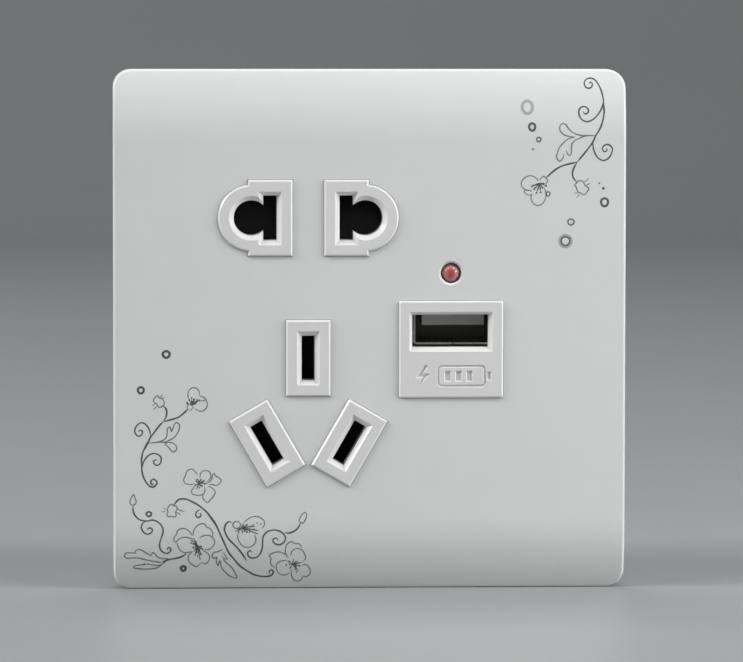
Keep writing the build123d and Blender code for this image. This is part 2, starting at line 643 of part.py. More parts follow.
with BuildPart() as neutral_contact:
    # upright leaves either side of each pin, sharing one spine
    for px, pz, rot, half_len, gap in (
            (PIN_X - FLAT_SP - 1.0, TWO_Z, 0.0, 2.6, 4.2),
            (PIN_X - LN_SP, LN_Z, TILT, 2.6, 1.4)):
        with BuildSketch(at(J1 + 0.1)):
            with Locations(Location((px, pz, 0), rot)):
                with Locations((-(gap + T) / 2, 0), ((gap + T) / 2, 0)):
                    Rectangle(T, 2 * half_len)
        extrude(amount=J1 + 0.1 - J0)
    with BuildSketch(at(SP1)):
        with Locations((PIN_X - FLAT_SP - 1.0, TWO_Z)):
            Rectangle(5.4, 5.2)
        with Locations(Location((PIN_X - LN_SP, LN_Z, 0), TILT)):
            Rectangle(2.6, 5.2)
        with Locations((-19.2, -0.2)):
            Rectangle(3.0, 35.0)
        with Locations((-18.4, -17.0)):
            Rectangle(3.6, 3.6)
    extrude(amount=SP1 - SP0)
    # tail that runs back under the terminal block
    with BuildSketch(at(TERM_Y0)):
        with Locations((-19.0, 2.0)):
            Rectangle(6.0, 4.0)
    extrude(amount=TERM_Y0 - SP1 + 0.1)
neutral_contact.part.label = "neutral_contact"
export_step(neutral_contact.part, "parts/neutral_contact.step")

with BuildPart() as live_contact:
    # upright leaves either side of each pin, sharing one spine
    for px, pz, rot, half_len, gap in (
            (PIN_X + FLAT_SP + 1.0, TWO_Z, 0.0, 2.6, 4.2),
            (PIN_X + LN_SP, LN_Z, -TILT, 2.6, 1.4)):
        with BuildSketch(at(J1 + 0.1)):
            with Locations(Location((px, pz, 0), rot)):
                with Locations((-(gap + T) / 2, 0), ((gap + T) / 2, 0)):
                    Rectangle(T, 2 * half_len)
        extrude(amount=J1 + 0.1 - J0)
    with BuildSketch(at(SP1)):
        with Locations((PIN_X + FLAT_SP + 1.0, TWO_Z)):
            Rectangle(5.4, 5.2)
        with Locations(Location((PIN_X + LN_SP, LN_Z, 0), -TILT)):
            Rectangle(2.6, 5.2)
        with Locations((-1.2, -0.2)):
            Rectangle(3.0, 35.0)
        with Locations((-2.0, -17.0)):
            Rectangle(3.6, 3.6)
    extrude(amount=SP1 - SP0)
    with BuildSketch(at(TERM_Y0)):
        with Locations((-0.9, 2.0)):
            Rectangle(6.0, 4.0)
    extrude(amount=TERM_Y0 - SP1 + 0.1)
live_contact.part.label = "live_contact"
export_step(live_contact.part, "parts/live_contact.step")

with BuildPart() as earth_contact:
    # upright leaves either side of each pin, sharing one spine
    for px, pz, rot, half_len, gap in (
            (PIN_X, EARTH_Z, 0.0, 2.8, 1.4),):
        with BuildSketch(at(J1 + 0.1)):
            with Locations(Location((px, pz, 0), rot)):
                with Locations((-(gap + T) / 2, 0), ((gap + T) / 2, 0)):
                    Rectangle(T, 2 * half_len)
        extrude(amount=J1 + 0.1 - J0)
    with BuildSketch(at(SP1)):
        with Locations((PIN_X, EARTH_Z)):
            Rectangle(2.6, 5.6)
        with Locations((PIN_X, 3.0)):
            Rectangle(3.0, 18.0)
    extrude(amount=SP1 - SP0)
    with BuildSketch(at(TERM_Y0)):
        with Locations((PIN_X, 10.6)):
            Rectangle(6.0, 4.0)
    extrude(amount=TERM_Y0 - SP1 + 0.1)
earth_contact.part.label = "earth_contact"
export_step(earth_contact.part, "parts/earth_contact.step")

# ================================================================ terminals


# brass block with a wire bore and a threaded clamp hole beside it
with BuildPart() as neutral_terminal:
    tx, tz = TERM[0][1], TERM[0][2]
    with BuildSketch(at(TERM_Y1)):
        with Locations((tx, tz)):
            RectangleRounded(9.2, 6.6, 0.6)
    extrude(amount=TERM_Y1 - TERM_Y0)
    with BuildSketch(at(TERM_Y1 + 1)):
        with Locations((tx - 2.3, tz)):
            Circle(WIRE_R)
    extrude(amount=8.0, mode=Mode.SUBTRACT)
    with BuildSketch(at(TERM_Y1 + 1)):
        with Locations((tx + 2.3, tz)):
            Circle(1.6)
    extrude(amount=7.0, mode=Mode.SUBTRACT)
neutral_terminal.part.label = "neutral_terminal"
export_step(neutral_terminal.part, "parts/neutral_terminal.step")

# brass block with a wire bore and a threaded clamp hole beside it
with BuildPart() as live_terminal:
    tx, tz = TERM[1][1], TERM[1][2]
    with BuildSketch(at(TERM_Y1)):
        with Locations((tx, tz)):
            RectangleRounded(9.2, 6.6, 0.6)
    extrude(amount=TERM_Y1 - TERM_Y0)
    with BuildSketch(at(TERM_Y1 + 1)):
        with Locations((tx - 2.3, tz)):
            Circle(WIRE_R)
    extrude(amount=8.0, mode=Mode.SUBTRACT)
    with BuildSketch(at(TERM_Y1 + 1)):
        with Locations((tx + 2.3, tz)):
            Circle(1.6)
    extrude(amount=7.0, mode=Mode.SUBTRACT)
live_terminal.part.label = "live_terminal"
export_step(live_terminal.part, "parts/live_terminal.step")

# brass block with a wire bore and a threaded clamp hole beside it
with BuildPart() as earth_terminal:
    tx, tz = TERM[2][1], TERM[2][2]
    with BuildSketch(at(TERM_Y1)):
        with Locations((tx, tz)):
            RectangleRounded(9.2, 6.6, 0.6)
    extrude(amount=TERM_Y1 - TERM_Y0)
    with BuildSketch(at(TERM_Y1 + 1)):
        with Locations((tx - 2.3, tz)):
            Circle(WIRE_R)
    extrude(amount=8.0, mode=Mode.SUBTRACT)
    with BuildSketch(at(TERM_Y1 + 1)):
        with Locations((tx + 2.3, tz)):
            Circle(1.6)
    extrude(amount=7.0, mode=Mode.SUBTRACT)
earth_terminal.part.label = "earth_terminal"
export_step(earth_terminal.part, "parts/earth_terminal.step")

with BuildPart() as terminal_screws:
    for name, tx, tz in TERM:
        with BuildSketch(at(TERM_Y1 + 1.8)):
            with Locations((tx + 2.3, tz)):
                Circle(2.1)
        extrude(amount=1.8)
        with BuildSketch(at(TERM_Y1 + 0.1)):
            with Locations((tx + 2.3, tz)):
                Circle(1.6)
        extrude(amount=5.6)
        with BuildSketch(at(TERM_Y1 + 2)):
            with Locations(Location((tx + 2.3, tz, 0), 35.0)):
                Rectangle(4.4, 0.7)
                Rectangle(0.7, 2.6)
        extrude(amount=1.2, mode=Mode.SUBTRACT)
terminal_screws.part.label = "terminal_screws"
export_step(terminal_screws.part, "parts/terminal_screws.step")

# ================================================================== charger
BOARD_Y0, BOARD_Y1 = 8.4, 9.6
with BuildPart() as charger_board:
    with BuildSketch(at(BOARD_Y1)):
        with Locations((14.9, 0)):
            Rectangle(18.4, 43.0)
        with Locations((BOX_SP, 0)):
            Circle(7.0, mode=Mode.SUBTRACT)
    extrude(amount=BOARD_Y1 - BOARD_Y0)
charger_board.part.label = "charger_board"
export_step(charger_board.part, "parts/charger_board.step")

PX, PZ = WIN_X + PORT_DX, WIN_Z + PORT_DZ
with BuildPart() as usb_shell:
    with BuildSketch(at(BOARD_Y0)):
        with Locations((PX, PZ)):
            RectangleRounded(PORT_W + 2 * PORT_T, PORT_H + 2 * PORT_T, 0.5)
            RectangleRounded(PORT_W, PORT_H, 0.25, mode=Mode.SUBTRACT)
    extrude(amount=BOARD_Y0 - PORT_Y)
    # seam of the rolled sheet, under the middle of the port
    with BuildSketch(at(BOARD_Y0 + 1)):
        with Locations((PX + 0.1, PZ - PORT_H / 2 - PORT_T / 2)):
            Rectangle(0.22, 1.0)
    extrude(amount=BOARD_Y0 - PORT_Y + 2, mode=Mode.SUBTRACT)
usb_shell.part.label = "usb_shell"
export_step(usb_shell.part, "parts/usb_shell.step")

TONGUE_Z0 = PZ + 0.26
with BuildPart() as usb_tongue:
    # block at the back of the port
    with BuildSketch(at(BOARD_Y0)):
        with Locations((PX, PZ)):
            RectangleRounded(PORT_W - 0.1, PORT_H - 0.1, 0.35)
    extrude(amount=BOARD_Y0 - 5.8)
    # tongue
    with BuildSketch(at(6.0)):
        with Locations((PX + 0.22, TONGUE_Z0 + 0.92)):
            Rectangle(10.4, 1.84)
    extrude(amount=6.0 + 4.1)
usb_tongue.part.label = "usb_tongue"
export_step(usb_tongue.part, "parts/usb_tongue.step")

with BuildPart() as usb_contacts:
    with BuildSketch(at(5.8)):
        with Locations((PX - 3.28, TONGUE_Z0 - 0.08), (PX + 3.72, TONGUE_Z0 - 0.08),
                       (PX - 0.78, TONGUE_Z0 - 0.08), (PX + 1.22, TONGUE_Z0 - 0.08)):
            Rectangle(1.0, 0.16)
    extrude(amount=5.8 + 1.9)
usb_contacts.part.label = "usb_contacts"
export_step(usb_contacts.part, "parts/usb_contacts.step")

# the light: dome, barrel and flange of one casting of resin
LED_TIP = -8.2
with BuildPart() as status_led:
    with BuildSketch(Plane(origin=(LED_X, 0, LED_Z), x_dir=(1, 0, 0), z_dir=(0, 0, 1))):
        with BuildLine():
            Polyline((0, -2.75), (1.85, -2.75), (1.85, -3.75), (LED_R, -3.75),
                     (LED_R, LED_TIP + LED_R))
            ThreePointArc((LED_R, LED_TIP + LED_R),
                          (LED_R * sin(radians(45)),
                           LED_TIP + LED_R - LED_R * cos(radians(45))),
                          (0, LED_TIP))
            Line((0, LED_TIP), (0, -2.75))
        make_face()
    revolve(axis=Axis((LED_X, 0, LED_Z), (0, 1, 0)))
status_led.part.label = "status_led"
export_step(status_led.part, "parts/status_led.step")

with BuildPart() as led_leads:
    with BuildSketch(at(BOARD_Y0)):
        with Locations((LED_X - 1.27, LED_Z), (LED_X + 1.27, LED_Z)):
            Rectangle(0.5, 0.5)
    extrude(amount=BOARD_Y0 + 2.75)
led_leads.part.label = "led_leads"
export_step(led_leads.part, "parts/led_leads.step")

with BuildPart() as transformer_core:
    # two E-shaped halves closed on each other, seen as a frame with a centre leg
    with BuildSketch(at(7.4)):
        with Locations((14.6, -14.6)):
            Rectangle(15.0, 12.6)
            with Locations((-4.2, 0), (4.2, 0)):
                Rectangle(3.6, 8.6, mode=Mode.SUBTRACT)
    extrude(amount=5.0)
transformer_core.part.label = "transformer_core"
export_step(transformer_core.part, "parts/transformer_core.step")

with BuildPart() as transformer_winding:
    # bobbin with its winding, round the core's centre leg, with a foot on the board
    with BuildSketch(at(BOARD_Y0)):
        with Locations((14.6, -14.6)):
            Rectangle(11.6, 8.2)
    extrude(amount=BOARD_Y0 - 0.2)
    with BuildSketch(at(7.45)):
        with Locations((14.6, -14.6)):
            Rectangle(5.1, 8.8)
            with Locations((-6.75, 0), (6.75, 0)):
                Rectangle(1.6, 9)
    extrude(amount=5.1, mode=Mode.SUBTRACT)
transformer_winding.part.label = "transformer_winding"
export_step(transformer_winding.part, "parts/transformer_winding.step")


# capacitor cans standing on the board, their rims rolled over
with BuildPart() as input_capacitor:
    with BuildSketch(at(BOARD_Y0)):
        with Locations((10.3, 17.2)):
            Circle(4.0)
    extrude(amount=BOARD_Y0 + 1.6)
    fillet(input_capacitor.edges().sort_by(Axis.Y)[0], 0.5)
input_capacitor.part.label = "input_capacitor"
export_step(input_capacitor.part, "parts/input_capacitor.step")

with BuildPart() as output_capacitor:
    with BuildSketch(at(BOARD_Y0)):
        with Locations((18.9, 17.2)):
            Circle(3.15)
    extrude(amount=BOARD_Y0 + 0.6)
    fillet(output_capacitor.edges().sort_by(Axis.Y)[0], 0.45)
output_capacitor.part.label = "output_capacitor"
export_step(output_capacitor.part, "parts/output_capacitor.step")

with BuildPart() as rectifier:
    with BuildSketch(at(BOARD_Y1 + 2.4)):
        with Locations((10.4, 16.0)):
            Rectangle(6.4, 4.7)
    extrude(amount=2.4)
    chamfer(rectifier.edges().group_by(Axis.Y)[-1], 0.4)
rectifier.part.label = "rectifier"
export_step(rectifier.part, "parts/rectifier.step")

with BuildPart() as controller_chip:
    with BuildSketch(at(BOARD_Y1 + 1.6)):
        with Locations((13.2, 4.0)):
            Rectangle(4.9, 3.9)
    extrude(amount=1.6)
    chamfer(controller_chip.edges().group_by(Axis.Y)[-1], 0.3)
controller_chip.part.label = "controller_chip"
export_step(controller_chip.part, "parts/controller_chip.step")

with BuildPart() as safety_capacitor:
    with BuildSketch(Plane.YZ.offset(8.2)):
        with Locations((BOARD_Y1 + 3.6, -6.0)):
            Circle(3.6)
    extrude(amount=2.6)
    fillet(safety_capacitor.edges(), 0.6)
safety_capacitor.part.label = "safety_capacitor"
export_step(safety_capacitor.part, "parts/safety_capacitor.step")

with BuildPart() as fuse_resistor:
    with BuildSketch(Plane.XY.offset(-21.3)):
        with Locations((9.6, BOARD_Y1 + 1.6)):
            Circle(1.6)
    extrude(amount=8.0)
    fillet(fuse_resistor.edges(), 0.5)
fuse_resistor.part.label = "fuse_resistor"
export_step(fuse_resistor.part, "parts/fuse_resistor.step")

# insulated wires from the contact strips over the barrier to the board
LINK_R = 0.65


with BuildPart() as live_link_wire:
    with BuildLine() as live_path:
        FilletPolyline((-1.2, SP1, LINK_Z[0]), (-1.2, LINK_Y[0], LINK_Z[0]),
                       (8.6, LINK_Y[0], LINK_Z[0]), (8.6, BOARD_Y1, LINK_Z[0]),
                       radius=2.6)
    with BuildSketch(Plane(origin=live_path.line @ 0, z_dir=live_path.line % 0)):
        Circle(LINK_R)
    sweep()
live_link_wire.part.label = "live_link_wire"
export_step(live_link_wire.part, "parts/live_link_wire.step")

with BuildPart() as neutral_link_wire:
    with BuildLine() as neutral_path:
        FilletPolyline((-19.2, SP1, LINK_Z[1]), (-19.2, LINK_Y[1], LINK_Z[1]),
                       (15.2, LINK_Y[1], LINK_Z[1]), (15.2, BOARD_Y1, LINK_Z[1]),
                       radius=2.6)
    with BuildSketch(Plane(origin=neutral_path.line @ 0, z_dir=neutral_path.line % 0)):
        Circle(LINK_R)
    sweep()
neutral_link_wire.part.label = "neutral_link_wire"
export_step(neutral_link_wire.part, "parts/neutral_link_wire.step")
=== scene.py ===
import json
import math

import bpy
import bmesh
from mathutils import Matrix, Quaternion, Vector


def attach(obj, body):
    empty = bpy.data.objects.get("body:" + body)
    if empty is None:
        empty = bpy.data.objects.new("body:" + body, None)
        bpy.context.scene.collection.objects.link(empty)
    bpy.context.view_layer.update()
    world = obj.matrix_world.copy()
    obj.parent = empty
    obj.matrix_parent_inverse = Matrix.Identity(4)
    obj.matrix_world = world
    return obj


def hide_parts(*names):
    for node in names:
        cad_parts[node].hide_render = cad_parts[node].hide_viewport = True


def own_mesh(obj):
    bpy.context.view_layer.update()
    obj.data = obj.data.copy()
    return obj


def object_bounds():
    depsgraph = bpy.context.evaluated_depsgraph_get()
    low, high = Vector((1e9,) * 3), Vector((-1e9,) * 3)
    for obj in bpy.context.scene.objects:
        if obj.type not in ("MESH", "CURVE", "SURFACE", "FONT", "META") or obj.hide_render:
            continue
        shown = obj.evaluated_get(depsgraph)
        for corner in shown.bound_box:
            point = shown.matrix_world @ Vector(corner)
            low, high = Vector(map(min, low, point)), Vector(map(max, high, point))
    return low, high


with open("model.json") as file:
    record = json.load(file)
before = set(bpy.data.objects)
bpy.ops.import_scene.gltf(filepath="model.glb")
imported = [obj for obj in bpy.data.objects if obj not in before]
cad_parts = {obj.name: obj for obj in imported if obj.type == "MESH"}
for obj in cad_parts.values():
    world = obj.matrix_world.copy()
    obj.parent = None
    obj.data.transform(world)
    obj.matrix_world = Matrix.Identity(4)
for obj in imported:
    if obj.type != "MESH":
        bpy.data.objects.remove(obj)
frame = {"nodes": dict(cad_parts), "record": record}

MM = 0.001
NODES = frame["nodes"]
cad_lo, cad_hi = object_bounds()
scene = bpy.context.scene
scene.view_settings.view_transform = "Standard"


# ---------------------------------------------------------------- materials
def new_material(name):
    m = bpy.data.materials.new(name)
    m.use_nodes = True
    nt = m.node_tree
    nt.nodes.clear()
    out = nt.nodes.new("ShaderNodeOutputMaterial")
    bsdf = nt.nodes.new("ShaderNodeBsdfPrincipled")
    nt.links.new(bsdf.outputs["BSDF"], out.inputs["Surface"])
    return m, nt, bsdf


def object_coords(nt, stretch=(1, 1, 1)):
    tc = nt.nodes.new("ShaderNodeTexCoord")
    mp = nt.nodes.new("ShaderNodeMapping")
    mp.inputs["Scale"].default_value = stretch
    nt.links.new(tc.outputs["Object"], mp.inputs["Vector"])
    return mp.outputs["Vector"]


def noise(nt, vec, scale, detail=3.0, rough=0.55):
    n = nt.nodes.new("ShaderNodeTexNoise")
    n.inputs["Scale"].default_value = scale
    n.inputs["Detail"].default_value = detail
    n.inputs["Roughness"].default_value = rough
    nt.links.new(vec, n.inputs["Vector"])
    return n.outputs["Fac"]


def span(nt, fac, lo, hi, from_lo=0.25, from_hi=0.75):
    r = nt.nodes.new("ShaderNodeMapRange")
    r.inputs["From Min"].default_value = from_lo
    r.inputs["From Max"].default_value = from_hi
    r.inputs["To Min"].default_value = lo
    r.inputs["To Max"].default_value = hi
    nt.links.new(fac, r.inputs["Value"])
    return r.outputs["Result"]


def blend_colours(nt, fac, a, b):
    mix = nt.nodes.new("ShaderNodeMix")
    mix.data_type = "RGBA"
    mix.inputs["A"].default_value = (*a, 1)
    mix.inputs["B"].default_value = (*b, 1)
    nt.links.new(fac, mix.inputs["Factor"])
    return mix.outputs["Result"]


def surface(name, colour, vary=0.02, rough=(0.35, 0.42), size=4.0, grain=0.08,
            depth=0.004, metal=0.0, stretch=(1, 1, 1), ior=1.5, coat=0.0,
            second=None, level=0.5):
    """Colour that drifts a little, uneven gloss and a fine moulded or drawn grain.
    size and grain are in millimetres, depth too."""
    m, nt, bsdf = new_material(name)
    vec = object_coords(nt, stretch)
    dark = tuple(c * (1 - vary) for c in colour)
    light = second or tuple(min(1.0, c * (1 + vary)) for c in colour)
    drift = span(nt, noise(nt, vec, 1 / (size * MM), 4.0), 0.0, 1.0)
    nt.links.new(blend_colours(nt, drift, dark, light), bsdf.inputs["Base Color"])
    gloss = noise(nt, vec, 1 / (size * 0.35 * MM), 3.0)
    nt.links.new(span(nt, gloss, *rough), bsdf.inputs["Roughness"])
    fine = noise(nt, vec, 1 / (grain * MM), 2.0)
    bump = nt.nodes.new("ShaderNodeBump")
    bump.inputs["Strength"].default_value = 1.0
    bump.inputs["Distance"].default_value = depth * MM
    nt.links.new(fine, bump.inputs["Height"])
    nt.links.new(bump.outputs["Normal"], bsdf.inputs["Normal"])
    bsdf.inputs["Metallic"].default_value = metal
    bsdf.inputs["IOR"].default_value = ior
    bsdf.inputs["Specular IOR Level"].default_value = level
    if coat:
        bsdf.inputs["Coat Weight"].default_value = coat
        bsdf.inputs["Coat Roughness"].default_value = 0.08
    return m


MAT = {
    "white_plate": surface("white_plate", (0.80, 0.80, 0.80), 0.012, (0.30, 0.36), 6.0, 0.12, 0.0012),
    "white_core": surface("white_core", (0.81, 0.81, 0.80), 0.012, (0.28, 0.35), 4.0, 0.10, 0.0012),
    "frame_plastic": surface("frame_plastic", (0.74, 0.75, 0.74), 0.02, (0.42, 0.52), 6.0, 0.20, 0.004),
    "housing_plastic": surface("housing_plastic", (0.72, 0.73, 0.72), 0.025, (0.45, 0.56), 6.0, 0.22, 0.005),
    "black_plastic": surface("black_plastic", (0.016, 0.016, 0.016), 0.15, (0.42, 0.55), 2.0, 0.12, 0.003),
    # painted shade: the USB tongue, taken to be white plastic deep in shade, is given mid grey
    "grey_plastic": surface("grey_plastic", (0.39, 0.39, 0.375), 0.06, (0.45, 0.55), 2.0, 0.12, 0.003),
    "zinc_steel": surface("zinc_steel", (0.70, 0.71, 0.72), 0.05, (0.22, 0.38), 1.6, 0.10, 0.002, 1.0,
                          second=(0.76, 0.74, 0.68)),
    "nickel_steel": surface("nickel_steel", (0.66, 0.64, 0.60), 0.04, (0.20, 0.32), 2.5, 0.08, 0.001, 1.0,
                            stretch=(1, 6, 1)),
    "spring_steel": surface("spring_steel", (0.50, 0.50, 0.51), 0.06, (0.22, 0.34), 1.0, 0.05, 0.001, 1.0),
    "brass_strip": surface("brass_strip", (0.78, 0.56, 0.27), 0.06, (0.20, 0.34), 3.0, 0.08, 0.001, 1.0,
                           stretch=(1, 1, 5)),
    "brass_block": surface("brass_block", (0.76, 0.57, 0.30), 0.06, (0.24, 0.38), 2.0, 0.10, 0.002, 1.0,
                           stretch=(5, 1, 1)),
    "gold_contact": surface("gold_contact", (0.90, 0.68, 0.32), 0.04, (0.18, 0.28), 1.5, 0.05, 0.0005, 1.0),
    "board_green": surface("board_green", (0.030, 0.16, 0.065), 0.20, (0.28, 0.42), 1.6, 0.25, 0.006,
                           second=(0.050, 0.22, 0.09)),
    "ferrite": surface("ferrite", (0.055, 0.055, 0.06), 0.20, (0.50, 0.68), 1.0, 0.15, 0.008),
    "winding_tape": surface("winding_tape", (0.72, 0.58, 0.10), 0.05, (0.22, 0.34), 2.5, 0.30, 0.006,
                            stretch=(1, 1, 4)),
    "can_sleeve": surface("can_sleeve", (0.030, 0.038, 0.085), 0.10, (0.20, 0.30), 3.0, 0.30, 0.003),
    "blue_ceramic": surface("blue_ceramic", (0.06, 0.22, 0.55), 0.08, (0.18, 0.30), 1.5, 0.40, 0.012),
    "resistor_coat": surface("resistor_coat", (0.28, 0.50, 0.46), 0.06, (0.22, 0.34), 1.2, 0.30, 0.006),
    "wire_red": surface("wire_red", (0.55, 0.035, 0.03), 0.06, (0.26, 0.38), 2.0, 0.20, 0.003),
    "wire_blue": surface("wire_blue", (0.03, 0.10, 0.42), 0.06, (0.26, 0.38), 2.0, 0.20, 0.003),
}


LED_X, LED_Z = 13.6, 9.6     # axis of the light, mm


def led_material():
    """Tinted red resin over the die, paler towards its rim: the paler rim is painted sheen standing in for reflections
    at the dome's edge.
    """
    m, nt, bsdf = new_material("led_resin")
    vec = object_coords(nt)
    axis = nt.nodes.new("ShaderNodeVectorMath")
    axis.operation = "SUBTRACT"
    axis.inputs[1].default_value = (LED_X * MM, 0, LED_Z * MM)
    nt.links.new(vec, axis.inputs[0])
    flat = nt.nodes.new("ShaderNodeVectorMath")
    flat.operation = "MULTIPLY"
    flat.inputs[1].default_value = (1, 0, 1)
    nt.links.new(axis.outputs["Vector"], flat.inputs[0])
    far = nt.nodes.new("ShaderNodeVectorMath")
    far.operation = "LENGTH"
    nt.links.new(flat.outputs["Vector"], far.inputs[0])
    cloud = span(nt, noise(nt, vec, 1 / (0.6 * MM), 2.0), -0.12 * MM, 0.12 * MM)
    add = nt.nodes.new("ShaderNodeMath")
    add.operation = "ADD"
    nt.links.new(far.outputs["Value"], add.inputs[0])
    nt.links.new(cloud, add.inputs[1])
    # painted sheen: colour pales from the red centre to the rim by distance from the LED axis
    rim = span(nt, add.outputs["Value"], 0.0, 1.0, 0.35 * MM, 1.35 * MM)
    nt.links.new(blend_colours(nt, rim, (0.58, 0.075, 0.070), (0.55, 0.33, 0.32)), bsdf.inputs["Base Color"])
    nt.links.new(span(nt, noise(nt, vec, 1 / (0.3 * MM), 2.0), 0.025, 0.045), bsdf.inputs["Roughness"])
    bsdf.inputs["IOR"].default_value = 1.5
    bsdf.inputs["Transmission Weight"].default_value = 0.10
    return m


MAT["led_resin"] = led_material()

SLOT_OF = {s["node"]: s["material_slot"] for s in frame["record"]["subparts"]}
for node, o in NODES.items():
    mat = MAT[SLOT_OF[node]]
    if o.material_slots:
        for s in o.material_slots:
            s.material = mat
    else:
        o.data.materials.append(mat)


# ---------------------------------------------------------- printed ornament
# Thin grey floral scroll, drawn as ink that stands a few thousandths off the plate.
# Points are millimetres on the plate: across and up.
UPPER_STROKES = [
    ("tendril", [(36.81, 41.22), (37.04, 41.59), (37.35, 41.35), (37.31, 40.89), (36.9, 40.56), (36.43, 40.63), (36.08, 41.02), (36.06, 41.55), (36.41, 42.04), (37.09, 42.23), (37.75, 42.01), (38.33, 41.29), (38.8, 40.29), (39.08, 39.23), (39.19, 38.43), (39.06, 37.77), (38.78, 37.04), (38.23, 36.18), (37.48, 35.41), (36.54, 34.98), (35.74, 35.18), (35.18, 35.81), (35.02, 36.58), (35.22, 37.2), (35.83, 37.51), (36.43, 37.27), (36.64, 36.71), (36.31, 36.29), (35.88, 36.38), (35.78, 36.69)]),
    ("stem", [(39.19, 38.3), (39.25, 37.24), (39.28, 36.57), (39.12, 35.51), (38.82, 34.44), (38.41, 33.51), (37.81, 32.58), (37.41, 31.64), (36.68, 30.58), (35.87, 29.57), (35, 28.52), (34.74, 28.21)]),
    ("tendril", [(37.41, 31.64), (37.41, 30.84), (37.72, 29.7), (38.36, 28.81), (39.23, 28.48), (40.06, 28.9), (40.59, 29.9), (40.59, 30.63), (39.89, 31.16), (39.22, 30.93), (39.01, 30.37), (39.33, 29.94), (39.76, 30.19), (39.72, 30.54)]),
    ("leaf", [(37.74, 32.64), (36.54, 32.67), (35.46, 32.68), (34.46, 32.92), (33.61, 33.45), (33.12, 34.05), (32.76, 34.52), (32.38, 34.66), (31.94, 34.39), (31.78, 33.79), (32.05, 33.19), (32.78, 32.68), (33.59, 32.49), (34.39, 32.42)]),
    ("leaf", [(34.39, 32.42), (33.32, 32.12), (32.38, 31.39), (31.65, 30.45), (31.29, 29.38), (31.25, 29.4), (31.4, 28.73), (31.79, 28.37), (32.23, 28.7), (32.52, 29.59)]),
    ("leaf", [(32.9, 30.21), (33.03, 29.78), (33.22, 29.45), (33.49, 29.31), (33.73, 29.65), (33.77, 30.58), (33.9, 31.32), (34.33, 31.81), (35.06, 32.18), (36, 32.55), (36.94, 32.65), (37.74, 32.64)]),
    ("stem", [(34.74, 28.21), (33.6, 27.95), (32.12, 27.52), (31.05, 26.92), (30.12, 26.12), (29.47, 25.52)]),
    ("stem", [(34.74, 28.21), (34.27, 27.38), (33.96, 26.45), (34.07, 25.65), (34.71, 24.82)]),
    ("petal", [(34.75, 24.78), (35.01, 25.04), (35.38, 25.11), (35.82, 24.84), (36.05, 24.3), (36.49, 24.01), (36.72, 23.77), (36.49, 23.3), (35.89, 22.7), (35.38, 23.03), (35.02, 23.13), (34.75, 23.5), (34.61, 23.97), (34.34, 24.38), (34.75, 24.78)]),
    ("petal", [(35.89, 24.84), (36.31, 25.13), (36.76, 25.51)]),
    ("petal", [(36.18, 24.3), (36.56, 24.46), (36.96, 24.68)]),
    ("petal", [(35.02, 22.97), (34.62, 23.04), (34.28, 22.94)]),
    ("petal", [(35.22, 22.86), (34.95, 22.57), (34.71, 22.27)]),
    ("petal", [(28.21, 25.23), (27.57, 25.73), (26.77, 25.93), (25.96, 25.6), (25.43, 24.93), (25.36, 24.33), (25.83, 23.73), (26.5, 23.48), (27.07, 23.52)]),
    ("petal", [(27.15, 22.92), (26.99, 22.19), (27.31, 21.38), (28.12, 20.91), (28.92, 21.24), (29.4, 22.05), (29.52, 22.85), (29.32, 23.65), (29.12, 23.92)]),
    ("petal", [(26.97, 23.46), (26.37, 23.52), (25.83, 23.36), (26.07, 22.92), (26.64, 22.69), (27.04, 22.79)]),
    ("petal", [(28.38, 25.15), (28.78, 25.59), (29.18, 25.86), (29.47, 25.52), (29.82, 25.09), (29.58, 24.72), (29.45, 24.32)]),
    ("vein", [(28.51, 24.72), (27.37, 24.32)]),
    ("vein", [(28.51, 24.72), (27.51, 23.66)]),
    ("vein", [(28.51, 24.72), (27.91, 23.05)]),
    ("vein", [(28.51, 24.72), (28.62, 23.12)]),
    ("vein", [(28.51, 24.72), (29.52, 24.19)]),
    ("vein", [(28.51, 24.72), (27.71, 23.92)]),
    ("vein", [(28.51, 24.72), (28.24, 23.79)]),
    ("vein", [(28.51, 24.72), (28.91, 23.92)]),
    ("vein", [(28.51, 24.72), (29.11, 24.59)]),
    ("vein", [(28.51, 24.72), (27.17, 24.12)]),
]
UPPER_RINGS = [     # centre, radii, width, shade
    ((26.38, 37.39), (0.87, 1.05), 0.50, "light"),
    ((29.88, 22.87), (0.31, 0.38), 0.19, "dark"),
    ((27.16, 34.09), (0.51, 0.61), 0.37, "dark"),
    ((28.28, 31.99), (0.34, 0.38), 0.23, "dark"),
    ((39.38, 21.46), (0.59, 0.67), 0.37, "dark"),
    ((33.73, 18.15), (0.51, 0.49), 0.29, "mid"),
    ((32.82, 14.94), (0.74, 0.74), 0.29, "dark"),
    ((32.82, 14.94), (1.02, 1.02), 0.39, "light"),
]
UPPER_DOTS = [      # centre, radius
    ((27.32, 30.37), 0.18),
    ((38.48, 24.66), 0.15),
    ((39.18, 23.79), 0.23),
    ((28.11, 25.19), 0.12),
    ((26.97, 23.39), 0.12),
    ((26.97, 22.65), 0.12),
    ((27.71, 23.92), 0.16),
    ((28.24, 23.79), 0.16),
    ((28.91, 23.92), 0.16),
    ((29.11, 24.59), 0.16),
    ((27.17, 24.12), 0.16),
    ((27.37, 24.32), 0.16),
    ((27.51, 23.66), 0.16),
    ((27.91, 23.05), 0.16),
    ((28.62, 23.12), 0.16),
    ((29.52, 24.19), 0.16),
    ((27.97, 24.46), 0.16),
]
